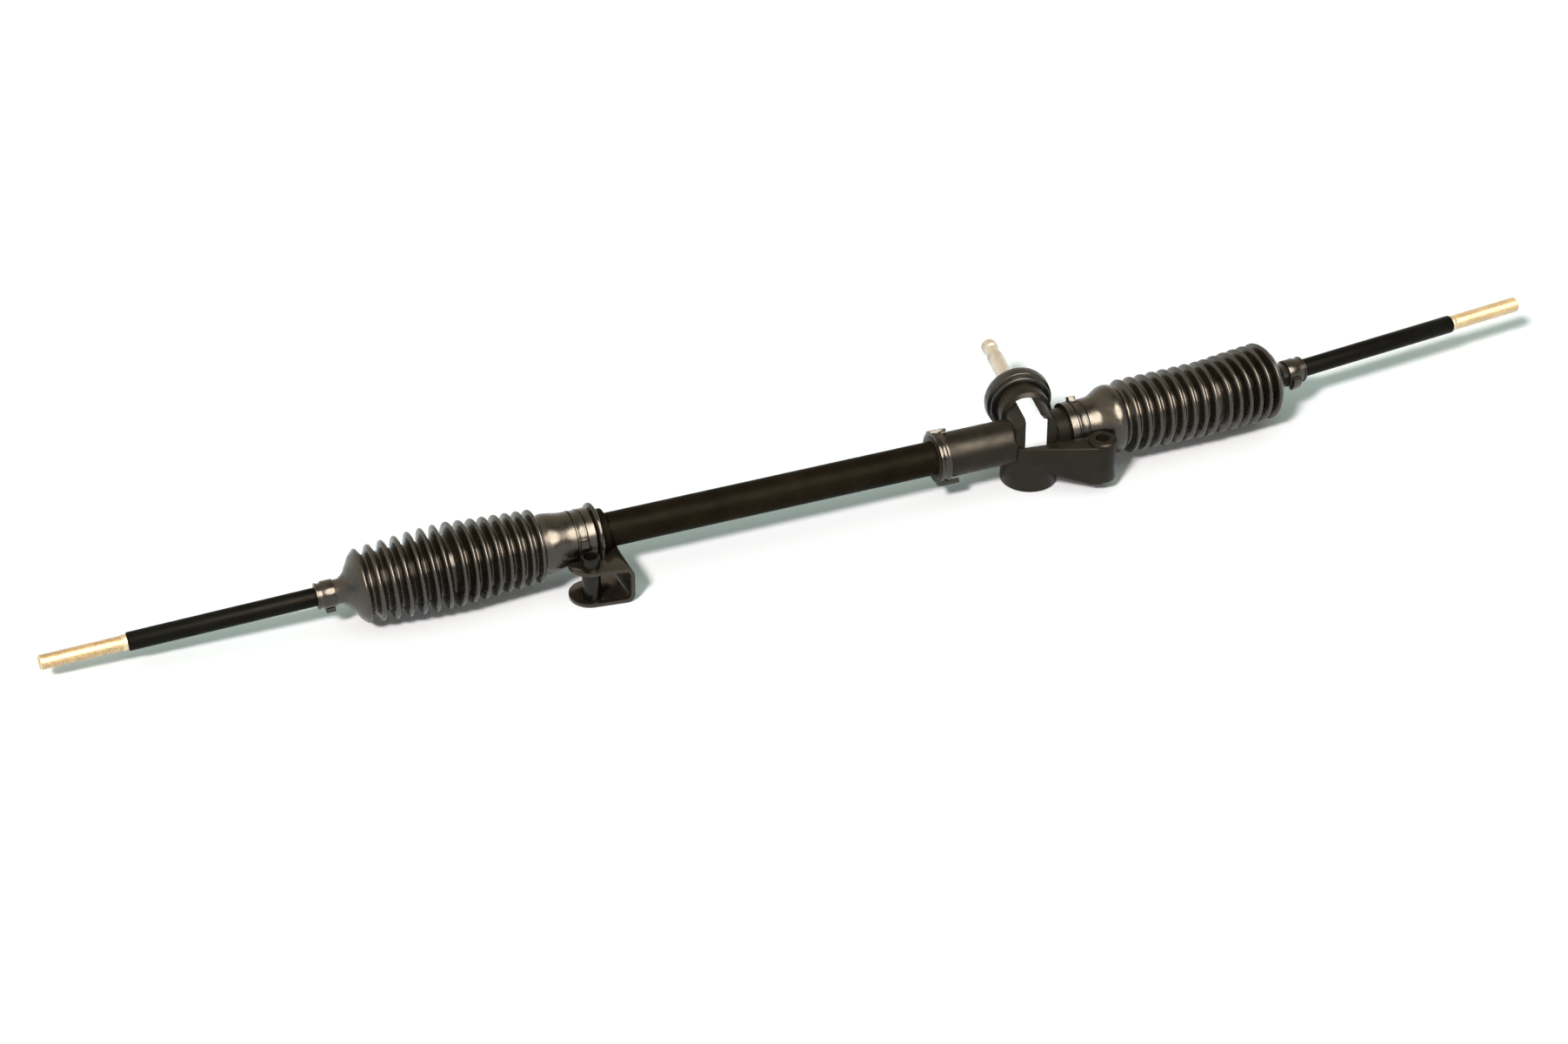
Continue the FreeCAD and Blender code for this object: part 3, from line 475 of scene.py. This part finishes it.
# Node, width of its eased edge in millimetres, slot and body
EASED = [
    ("pinion_housing", 1.1, "casting_paint", "housing"),
    ("tube_bracket", 1.2, "bracket_paint", "housing"),
    ("bracket_spacer", 0.5, "bracket_paint", "housing"),
    ("tube_end_sleeve", 0.5, "tube_paint", "housing"),
    ("ring_clamp", 0.5, "clamp_steel", "housing"),
    ("guide_plug", 0.5, "casting_paint", "housing"),
    ("pinion_dust_cap", 0.6, "cap_rubber", "housing"),
    ("pinion_shaft", 0.15, "bright_steel", "pinion"),
    ("left_boot_clamp", 0.25, "clamp_steel", "housing"),
    ("right_boot_clamp", 0.25, "clamp_steel", "housing"),
    ("left_boot_clip", 0.3, "clamp_steel", "left_boot_end"),
    ("right_boot_clip", 0.3, "clamp_steel", "right_boot_end"),
]


class RACK_OT_castings(bpy.types.Operator):
    """Eases the edges of the housing, bracket, sleeve, clamps, cap and shaft"""
    bl_idname = "rack.castings"
    bl_label = "Castings and pressings"

    def execute(self, context):
        for node, width, slot, body in EASED:
            obj = eased_copy(node, width)
            # The spacer is darker than the bracket whose slot it shares
            finish = "spacer" if node == "bracket_spacer" else slot
            finish_piece(obj, finishes[finish], body, (node,))
        return {"FINISHED"}


# Boots

# Climb of a fold's flank: share of half the pitch, share of the height
FLANK = [(0.09, 0.015), (0.20, 0.07), (0.31, 0.22), (0.54, 0.66), (0.66, 0.84), (0.77, 0.94),
         (0.89, 0.987)]

# Lengths in millimetres. Stations run from the ball centre towards the rod end.
# mouth: how far the large end lies from the ball
# folds: how many over the rack and how many over the rod
# neck: where the small end starts and stops
# crests and bulges: crest radii at the first, middle and last fold, and how the two halves swell
# shoulder: station and radius of the smooth part between the large end and the first fold
# seam_at: the valley in which the straight half meets the half that follows the rod
# cuts: folds past the seam at which the boot is split
# bodies: a pair of bodies for each of the three pieces; the code reads them but attaches no piece to them
LEFT_BOOT = {
    "side": -1.0,
    "mouth": 115.0,
    "folds": (8, 7),
    "neck": (74.0, 93.5),
    "crests": (27.6, 31.7, 27.8),
    "bulges": (0.85, 1.5),
    "shoulder": [(-92.0, 20.8), (-88.0, 21.7), (-80.5, 22.6), (-78.5, 22.2), (-75.5, 21.4)],
    "seam_at": -5.4,
    "cuts": (3, 5),
    "bodies": (("housing", "rack"), ("rack", "left_seat"), ("left_seat", "left_boot_end")),
}
RIGHT_BOOT = {
    "side": 1.0,
    "mouth": 120.4,
    "folds": (8, 6),
    "neck": (68.0, 89.5),
    "crests": (28.6, 29.2, 30.4),
    "bulges": (1.0, 0.6),
    "shoulder": [(-97.0, 20.6), (-94.5, 21.5), (-90.0, 24.0), (-86.0, 26.1), (-83.0, 26.8),
                 (-79.0, 26.6), (-76.4, 25.3), (-74.1, 22.9)],
    "seam_at": 2.4,
    "cuts": (2, 4),
    "bodies": (("housing", "rack"), ("rack", "right_seat"), ("right_seat", "right_boot_end")),
}


def fold_points(start, pitch, low_a, top, low_b):
    """Outer line of one fold from valley to valley, without its first point."""
    half = pitch / 2.0
    rise = top - low_a
    fall = top - low_b
    points = [(start + half * way, low_a + rise * height) for way, height in FLANK]
    points.append((start + half, top))
    points += [(start + pitch - half * way, low_b + fall * height) for way, height in reversed(FLANK)]
    points.append((start + pitch, low_b))
    return points


def crest(away, count, middle, end, bulge):
    """Crest radius of a fold counted from the ball centre, changing towards the end."""
    return middle + (end - middle) * (away / (count - 1.0)) ** bulge


class BootPlan:
    """Stations and radii of one boot, in metres from the ball centre."""

    def __init__(self, s, sizes, ball, along, pitches):
        self.s = s
        self.side = sizes["side"]
        self.ball = ball
        self.along = along
        self.mouth = sizes["mouth"] * MM
        self.folds = sizes["folds"]
        self.neck_start, self.neck_end = (station * MM for station in sizes["neck"])
        self.crests = [radius * MM for radius in sizes["crests"]]
        self.bulges = sizes["bulges"]
        self.shoulder = [(station * MM, radius * MM) for station, radius in sizes["shoulder"]]
        self.valleys = self.spaced(pitches, sizes["seam_at"] * MM)

    def spaced(self, pitches, seam_at):
        """Stations of the valleys, with the seam's valley at its place."""
        count = sum(self.folds)
        steps = [pitches[0] + (pitches[1] - pitches[0]) * k / (count - 1.0) for k in range(count)]
        start = seam_at - sum(steps[:self.folds[0]])
        return [start + sum(steps[:k]) for k in range(count + 1)]

    def width(self, k):
        """Width of a fold, counted from the large end."""
        return self.valleys[k + 1] - self.valleys[k]

    def top(self, k):
        """Station of a fold's crest."""
        return self.valleys[k] + self.width(k) / 2.0

    def inner_crest(self, k):
        """Crest radius of a fold over the rack."""
        count = self.folds[0]
        return crest(count - 1 - k, count, self.crests[1], self.crests[0], self.bulges[0])

    def outer_crest(self, k):
        """Crest radius of a fold over the rod."""
        return crest(k, self.folds[1], self.crests[1], self.crests[2], self.bulges[1])

    def inner_outline(self):
        """Outer line from the large end to the seam over the ball."""
        s = self.s
        lip = s.lip
        groove = lip - 1.2 * MM
        m = -self.mouth
        line = [(m, lip - 0.6 * MM), (m + 0.3 * MM, lip), (m + 6.0 * MM, lip), (m + 6.5 * MM, groove),
                (m + 14.5 * MM, groove), (m + 15.0 * MM, lip), (m + LARGE_END_SEAT - 3 * MM, lip)]
        line += self.shoulder
        before = self.shoulder[-1][1]
        for k in range(self.folds[0]):
            after = s.valley if k < self.folds[0] - 1 else s.seam
            line += fold_points(self.valleys[k], self.width(k), before, self.inner_crest(k), after)
            before = after
        return line[:-1]

    def inner_lining(self):
        """Inner line from the large end to the seam."""
        s = self.s
        bore = LARGE_END_BORE
        mouth, seat_end = -self.mouth, LARGE_END_SEAT - self.mouth
        line = [(mouth, bore), (seat_end, bore)]
        line += [(station, max(bore, radius - s.wall)) for station, radius in self.shoulder
                 if station > seat_end]
        for k in range(self.folds[0]):
            line.append((self.top(k), self.inner_crest(k) - s.wall))
            if k < self.folds[0] - 1:
                line.append((self.valleys[k + 1], s.valley - s.wall))
        return line

    def outer_outline(self):
        """Outer line from just past the seam to the small end."""
        s = self.s
        first, count = self.folds
        points = []
        before = s.seam
        for k in range(count):
            points += fold_points(self.valleys[first + k], self.width(first + k), before,
                                  self.outer_crest(k), s.valley)
            before = s.valley
        last = self.top(first + count - 1)
        points = [p for p in points if p[0] <= last + CORNER_MERGE]
        top = self.outer_crest(count - 1)
        neck = s.neck
        cone = self.neck_start - last
        drop = top - neck
        points += [(last + 0.05 * cone, top - 0.35 * MM), (last + 0.16 * cone, top - 1.6 * MM),
                   (last + 0.36 * cone, top - 0.26 * drop), (last + 0.78 * cone, neck + 0.20 * drop),
                   (last + 0.93 * cone, neck + 0.085 * drop),
                   (self.neck_start + 1.4 * MM, neck), (self.neck_end - 1.6 * MM, neck),
                   (self.neck_end - 1.2 * MM, neck + 0.7 * MM), (self.neck_end - 0.3 * MM, neck + 0.7 * MM),
                   (self.neck_end, neck + 0.3 * MM)]
        return points

    def outer_lining(self, rod_r):
        """Inner line back from the small end to just past the seam."""
        s = self.s
        first, count = self.folds
        bore = rod_r + ROD_GAP
        line = [(self.neck_end, bore), (self.neck_start, bore)]
        for k in reversed(range(count)):
            line.append((self.top(first + k), self.outer_crest(k) - s.wall))
            if k > 0:
                line.append((self.valleys[first + k], s.valley - s.wall))
        return line


def bridge_open_rings(obj, inside):
    """Joins the open rings whose vertices pass the test."""
    edit(obj)
    bpy.ops.mesh.select_mode(type="EDGE")
    bpy.ops.mesh.select_all(action="DESELECT")
    bpy.ops.mesh.select_non_manifold(extend=False, use_wire=False, use_boundary=True,
                                     use_multi_face=False, use_non_contiguous=False, use_verts=False)
    leave()
    mesh = obj.data
    for edge in mesh.edges:
        if edge.select and not all(inside(mesh.vertices[i].co) for i in edge.vertices):
            edge.select = False
    for vertex in mesh.vertices:
        vertex.select = False
    for face in mesh.polygons:
        face.select = False
    bpy.ops.object.mode_set(mode="EDIT")
    bpy.ops.mesh.bridge_edge_loops()
    leave()


def split_beyond(obj, origin, axis, station, name):
    """Cuts off what lies beyond a station and returns it as a new piece."""
    edit(obj)
    bpy.ops.mesh.select_mode(type="FACE")
    bpy.ops.mesh.select_all(action="DESELECT")
    leave()
    for face in obj.data.polygons:
        face.select = (face.center - origin).dot(axis) > station
    bpy.ops.object.mode_set(mode="EDIT")
    before = set(bpy.data.objects)
    bpy.ops.mesh.separate(type="SELECTED")
    leave()
    part = [o for o in bpy.data.objects if o not in before][0]
    part.name = name
    part.data.name = name
    return part


def make_boot(name, plan, sizes, rod_r):
    """One boot in three pieces: the folds near the large end, the folds past the seam and the tail."""
    s = plan.s
    axis = Vector((plan.side, 0.0, 0.0))
    inner = turned(name + "_folds", list(reversed(plan.inner_outline())) + plan.inner_lining(),
                   plan.ball, axis, s.turns)
    outer = turned(name + "_outer", plan.outer_outline() + plan.outer_lining(rod_r),
                   plan.ball, plan.along, s.turns)
    boot = join_pieces(inner, outer)
    first = plan.folds[0]

    def near_seam(co, outside):
        """Whether a vertex lies at the seam, on the outer or on the inner surface."""
        away = co - plan.ball
        if abs(away.x - plan.side * plan.valleys[first]) > 1.2 * plan.width(first):
            return False
        far = (away - axis * away.dot(axis)).length
        return (far > s.seam - 0.45 * MM) == outside

    bridge_open_rings(boot, lambda co: near_seam(co, True))
    bridge_open_rings(boot, lambda co: near_seam(co, False))
    recalculate(boot)
    pieces = [boot]
    cuts = [plan.valleys[first + k] for k in sizes["cuts"]]
    for cut, suffix in zip(cuts, ("_bend", "_tail")):
        rest = split_beyond(pieces[-1], plan.ball, plan.along, cut, name + suffix)

        def at_cut(co, station=cut):
            """Whether a vertex lies in the plane of the cut."""
            return abs((co - plan.ball).dot(plan.along) - station) < 0.05 * MM

        bridge_open_rings(pieces[-1], at_cut)
        bridge_open_rings(rest, at_cut)
        pieces.append(rest)
    bend_at, tail_at = (plan.ball + plan.along * cut for cut in cuts)
    spans = [(plan.ball + axis * (plan.valleys[0] - 4 * MM), bend_at - plan.along * (3.0 * MM)),
             (bend_at, tail_at),
             (tail_at, plan.ball + plan.along * plan.top(sum(plan.folds) - 1))]
    for piece, pair, (start, end) in zip(pieces, sizes["bodies"], spans):
        recalculate(piece)
        smooth(piece, 50.0)
        finish_piece(piece, finishes["rubber"])
        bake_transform(piece)
    for piece in pieces:
        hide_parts(name)


class RACK_OT_boots(bpy.types.Operator):
    """Models the two folded rubber boots"""
    bl_idname = "rack.boots"
    bl_label = "Boots"

    def execute(self, context):
        s = context.scene.rack_boots
        rod_r = context.scene.rack_rods.radius
        left = BootPlan(s, LEFT_BOOT, left_ball, left_along, (s.left_inner, s.left_outer))
        right = BootPlan(s, RIGHT_BOOT, right_ball, right_along, (s.right_inner, s.right_outer))
        make_boot("left_boot", left, LEFT_BOOT, rod_r)
        make_boot("right_boot", right, RIGHT_BOOT, rod_r)
        return {"FINISHED"}


# Tie rods


def rod_profile(s, root):
    """Half outline of a tie rod from the ball's pole to the rod's end."""
    neck = s.neck
    last = math.atan2(neck, math.sqrt(BALL_RADIUS ** 2 - neck ** 2))
    steps = 20
    turns = [math.pi + (last - math.pi) * i / steps for i in range(steps + 1)]
    line = [(BALL_RADIUS * math.cos(turn), BALL_RADIUS * math.sin(turn)) for turn in turns]
    line[0] = (-BALL_RADIUS, 0.0)
    shoulder = s.length - s.thread
    line += [(30 * MM, neck), (31.5 * MM, neck + 0.3 * MM), (34.5 * MM, s.radius - 0.3 * MM),
             (36.0 * MM, s.radius), (shoulder - 5.6 * MM, s.radius),
             (shoulder - 5.0 * MM, s.radius - 0.25 * MM), (shoulder - 4.4 * MM, THREAD_RADIUS + 0.05 * MM),
             (shoulder - 1.0 * MM, THREAD_RADIUS), (shoulder, root), (s.length - 1.4 * MM, root),
             (s.length, root - 1.2 * MM), (s.length, 0.0)]
    return line


def make_thread(name, s, root, start, end):
    """Screwed ridge round the X axis between two stations."""
    pitch = s.pitch
    top = root + s.depth
    ridge = [(0.0, root), (0.06, root), (0.42, top), (0.58, top), (0.94, root), (1.0, root)]
    obj = chain(name, [Vector((start - pitch + way * pitch, 0.0, r)) for way, r in ridge])
    screw = obj.modifiers.new("thread", "SCREW")
    screw.axis = "X"
    screw.angle = 2.0 * math.pi
    screw.screw_offset = pitch
    screw.iterations = int(round((end - start) / pitch)) + 1
    screw.steps = 36
    screw.render_steps = 36
    screw.use_merge_vertices = True
    screw.merge_threshold = CORNER_MERGE
    apply_all(obj)
    edit(obj)
    bpy.ops.mesh.select_all(action="SELECT")
    bpy.ops.mesh.remove_doubles(threshold=CORNER_MERGE)
    for at, normal in ((start, ACROSS), (end, -ACROSS)):
        bpy.ops.mesh.select_all(action="SELECT")
        bpy.ops.mesh.bisect(plane_co=(at, 0.0, 0.0), plane_no=normal, clear_inner=True, use_fill=False)
    leave()
    recalculate(obj)
    return obj


def make_rod(name, s, ball, along, body, node):
    """Ball, bar and screw thread, built along X and laid on the rod's line."""
    root = THREAD_RADIUS - s.depth
    shoulder = s.length - s.thread
    bar = turned(name, rod_profile(s, root), Vector((0.0, 0.0, 0.0)), ACROSS, 64)
    recalculate(bar)
    thread = make_thread(name + "_thread", s, root, shoulder - 1.0 * MM, s.length - 1.4 * MM)
    bar.data.materials.clear()
    thread.data.materials.clear()
    for finish in ("rod_paint", "thread_zinc", "rack_steel"):
        bar.data.materials.append(finishes[finish])
    for face in bar.data.polygons:
        if face.center.x > shoulder - 4.6 * MM:
            face.material_index = 1
        elif face.center.x < BALL_RADIUS:
            face.material_index = 2
    thread.data.materials.append(finishes["thread_zinc"])
    rod = join_pieces(bar, thread)
    side = side_of(along)
    turn = Matrix((along, side.cross(along), side)).transposed().to_4x4()
    rod.matrix_world = Matrix.Translation(ball) @ turn
    select_only(rod)
    bpy.ops.object.transform_apply(location=True, rotation=True, scale=True)
    smooth(rod, 40.0)
    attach(rod, body)
    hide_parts(node)


class RACK_OT_rods(bpy.types.Operator):
    """Models the two tie rods with their threads"""
    bl_idname = "rack.rods"
    bl_label = "Tie rods"

    def execute(self, context):
        s = context.scene.rack_rods
        make_rod("left_tie_rod_turned", s, left_ball, left_along, "left_rod", "left_tie_rod")
        make_rod("right_tie_rod_turned", s, right_ball, right_along, "right_rod", "right_tie_rod")
        return {"FINISHED"}


# Label


def label_point(s, across, way):
    """Point of the label: up the barrel's flat face, over its edge and back along its top."""
    rim = math.sqrt(BARREL_RADIUS ** 2 - across ** 2)
    face = rim - BARREL_EDGE + s.low
    over = BARREL_EDGE * 1.35
    way *= face + over + (s.back - BARREL_EDGE)
    if way < face:
        return BARREL_FRONT - LABEL_GAP, across, -s.low + way
    if way < face + over:
        turned_in = (BARREL_EDGE + LABEL_GAP) * (way - face) / over
        return BARREL_FRONT - LABEL_GAP + turned_in, across, rim - BARREL_EDGE + turned_in
    top = math.sqrt((BARREL_RADIUS + LABEL_GAP) ** 2 - across ** 2)
    return BARREL_FRONT + BARREL_EDGE + (way - face - over), across, top


class RACK_OT_label(bpy.types.Operator):
    """Lays the blank label over the front of the pinion barrel"""
    bl_idname = "rack.label"
    bl_label = "Label"

    def execute(self, context):
        s = context.scene.rack_label
        bpy.ops.object.select_all(action="DESELECT")
        bpy.ops.mesh.primitive_grid_add(x_subdivisions=24, y_subdivisions=60, size=1.0)
        obj = bpy.context.active_object
        obj.name = "blank_label"
        side = pinion_along.cross(UP).normalized()
        for vertex in obj.data.vertices:
            along, across, up = label_point(s, vertex.co.x * s.width, vertex.co.y + 0.5)
            vertex.co = pinion_at + pinion_along * along + side * (across - LABEL_ASIDE) + UP * up
        solid = obj.modifiers.new("paper", "SOLIDIFY")
        solid.thickness = s.thick
        solid.offset = 1.0
        apply_all(obj)
        recalculate(obj)
        smooth(obj, 40.0)
        finish_piece(obj, finishes["label"], "housing")
        return {"FINISHED"}


# Floor, room, lights and camera


def towards(tree, place, direction):
    """How far a direction points one way, from minus one to one."""
    node = tree.nodes.new("ShaderNodeVectorMath")
    node.operation = "DOT_PRODUCT"
    node.inputs[1].default_value = direction
    tree.links.new(place, node.inputs[0])
    return node.outputs["Value"]


def blended(tree, share, first, second):
    """Mix of two colours, each a fixed one or a node's output."""
    node = tree.nodes.new("ShaderNodeMix")
    node.data_type = "RGBA"
    tree.links.new(share, node.inputs["Factor"])
    for socket, colour in ((node.inputs[6], first), (node.inputs[7], second)):
        if isinstance(colour, tuple):
            socket.default_value = (*colour, 1.0)
        else:
            tree.links.new(colour, socket)
    return node.outputs[2]


def seen_rays(tree):
    """One for rays that the eye, a gloss or a glass sends, else nought."""
    rays = tree.nodes.new("ShaderNodeLightPath")
    total = rays.outputs["Is Camera Ray"]
    for name in ("Is Glossy Ray", "Is Transmission Ray"):
        more = tree.nodes.new("ShaderNodeMath")
        more.operation = "MAXIMUM"
        tree.links.new(total, more.inputs[0])
        tree.links.new(rays.outputs[name], more.inputs[1])
        total = more.outputs[0]
    return total


def bare_material(name):
    """Material with an empty tree and its output."""
    material = bpy.data.materials.new(name)
    material.use_nodes = True
    tree = material.node_tree
    tree.nodes.clear()
    return material, tree, tree.nodes.new("ShaderNodeOutputMaterial")


class RACK_OT_stage(bpy.types.Operator):
    """Adds the floor, the light and the camera"""
    bl_idname = "rack.stage"
    bl_label = "Stage"

    def execute(self, context):
        s = context.scene.rack_stage
        self.floor()
        self.world(s)
        self.wall()
        self.lights(s)
        self.camera(s)
        context.scene.view_settings.view_transform = "Standard"
        return {"FINISHED"}

    def floor(self):
        """White ground under the part's lowest point, which keeps its shadow."""
        bpy.ops.object.select_all(action="DESELECT")
        low = cad_box[0][2]
        bpy.ops.mesh.primitive_circle_add(vertices=96, radius=ROOM_RADIUS, fill_type="NGON",
                                          location=(0.0, 0.0, low))
        floor = bpy.context.active_object
        floor.name = "studio_floor"
        bpy.ops.object.transform_apply(location=True, rotation=True, scale=True)
        material, tree, out = bare_material("studio floor")
        matt = tree.nodes.new("ShaderNodeBsdfDiffuse")
        matt.inputs["Color"].default_value = (0.97, 0.97, 0.97, 1.0)
        glow = tree.nodes.new("ShaderNodeEmission")
        glow.inputs["Color"].default_value = (0.055, 0.055, 0.055, 1.0)
        tree.links.new(seen_rays(tree), glow.inputs["Strength"])
        both = tree.nodes.new("ShaderNodeAddShader")
        tree.links.new(matt.outputs[0], both.inputs[0])
        tree.links.new(glow.outputs[0], both.inputs[1])
        tree.links.new(both.outputs[0], out.inputs["Surface"])
        floor.data.materials.append(material)

    def world(self, s):
        """White to the camera, a room with a soft box to mirrors, overhead light to the rest."""
        world = bpy.data.worlds.new("studio")
        bpy.context.scene.world = world
        world.use_nodes = True
        tree = world.node_tree
        sky = tree.nodes["Background"]
        place = tree.nodes.new("ShaderNodeTexCoord").outputs["Object"]
        away = towards(tree, place, (math.sin(s.azimuth), math.cos(s.azimuth), 0.0))
        backdrop = ramp(tree, away, [(0.15, tuple(s.dim)), (0.75, tuple(s.warm))])
        left = spread(tree, towards(tree, place, (-1.0, 0.0, 0.0)), 0.0, 1.0, -0.22, 0.38)
        mirrored = blended(tree, left, backdrop, tuple(s.soft))
        rays = tree.nodes.new("ShaderNodeLightPath")
        above = spread(tree, towards(tree, place, (0.0, 0.0, 1.0)), 0.0, 1.0, 0.5, 0.85)
        lit = blended(tree, above, tuple(s.ambient), tuple(s.ceiling))
        lit = blended(tree, rays.outputs["Is Glossy Ray"], lit, mirrored)
        seen = blended(tree, rays.outputs["Is Camera Ray"], lit, (1.0, 1.0, 1.0))
        tree.links.new(seen, sky.inputs["Color"])

    def wall(self):
        """White wall far round the floor, which gives no light."""
        bpy.ops.object.select_all(action="DESELECT")
        bpy.ops.mesh.primitive_cylinder_add(vertices=96, radius=ROOM_RADIUS, depth=WALL_HEIGHT,
                                            end_fill_type="NOTHING",
                                            location=(0.0, 0.0, WALL_HEIGHT / 2.0))
        wall = bpy.context.active_object
        wall.name = "studio_wall"
        bpy.ops.object.transform_apply(location=True, rotation=True, scale=True)
        material, tree, out = bare_material("studio wall")
        glow = tree.nodes.new("ShaderNodeEmission")
        glow.inputs["Color"].default_value = (1.0, 1.0, 1.0, 1.0)
        tree.links.new(seen_rays(tree), glow.inputs["Strength"])
        tree.links.new(glow.outputs[0], out.inputs["Surface"])
        wall.data.materials.append(material)

    def lights(self, s):
        """The key casts the shadow, the gloss light only draws the highlights."""
        key = self.sun("key_light", s.key, (1.0, 0.955, 0.965), 9.0, (0.80, 0.74, -1.0))
        key.visible_glossy = False
        gloss = self.sun("gloss_light", s.gloss, (1.0, 0.90, 0.80), 46.0, (-0.15, 0.60, -0.76))
        gloss.visible_diffuse = False

    def sun(self, name, energy, colour, degrees, direction):
        """Sun that shines along a direction, as wide as its angle."""
        bpy.ops.object.light_add(type="SUN")
        lamp = bpy.context.active_object
        lamp.name = name
        lamp.data.energy = energy
        lamp.data.color = colour
        lamp.data.angle = math.radians(degrees)
        lamp.rotation_euler = Vector(direction).to_track_quat("-Z", "Y").to_euler()
        return lamp

    def camera(self, s):
        """Camera that looks at the middle of the two ball joints, moved along the rack."""
        middle = (left_ball + right_ball) / 2.0 + ACROSS * s.shift
        view = Vector((math.sin(s.azimuth) * math.cos(s.elevation),
                       math.cos(s.azimuth) * math.cos(s.elevation), -math.sin(s.elevation)))
        right = Vector((math.cos(s.azimuth), -math.sin(s.azimuth), 0.0))
        screen_up = right.cross(view)
        bpy.ops.object.camera_add(location=middle - screen_up * s.drop - view * s.distance)
        camera = bpy.context.active_object
        camera.name = "photo_camera"
        camera.rotation_euler = view.to_track_quat("-Z", "Y").to_euler()
        camera.data.lens = s.lens
        camera.data.sensor_width = 36.0
        camera.data.clip_end = 200.0
        bpy.context.scene.camera = camera


# Panel and registration


class RACK_PT_panel(bpy.types.Panel):
    """Buttons for every group of pieces and for the stage"""
    bl_idname = "RACK_PT_panel"
    bl_label = "Steering Rack"
    bl_space_type = "VIEW_3D"
    bl_region_type = "UI"
    bl_category = "Steering Rack"

    def draw(self, context):
        for operator in OPERATORS:
            self.layout.operator(operator.bl_idname)


OPERATORS = (RACK_OT_finishes, RACK_OT_castings, RACK_OT_boots, RACK_OT_rods, RACK_OT_label,
             RACK_OT_stage)
SETTINGS = {"rack_finish": FinishSettings, "rack_boots": BootSettings, "rack_rods": RodSettings,
            "rack_label": LabelSettings, "rack_stage": StageSettings}


def register():
    for cls in (*SETTINGS.values(), *OPERATORS, RACK_PT_panel):
        bpy.utils.register_class(cls)
    for name, cls in SETTINGS.items():
        setattr(bpy.types.Scene, name, PointerProperty(type=cls))


def unregister():
    for name in SETTINGS:
        delattr(bpy.types.Scene, name)
    for cls in (RACK_PT_panel, *reversed(OPERATORS), *SETTINGS.values()):
        bpy.utils.unregister_class(cls)


def main():
    """Registers the tools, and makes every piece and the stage."""
    register()
    bpy.ops.rack.finishes()
    bpy.ops.rack.castings()
    bpy.ops.rack.boots()
    bpy.ops.rack.rods()
    bpy.ops.rack.label()
    bpy.ops.rack.stage()


if __name__ == "__main__":
    main()
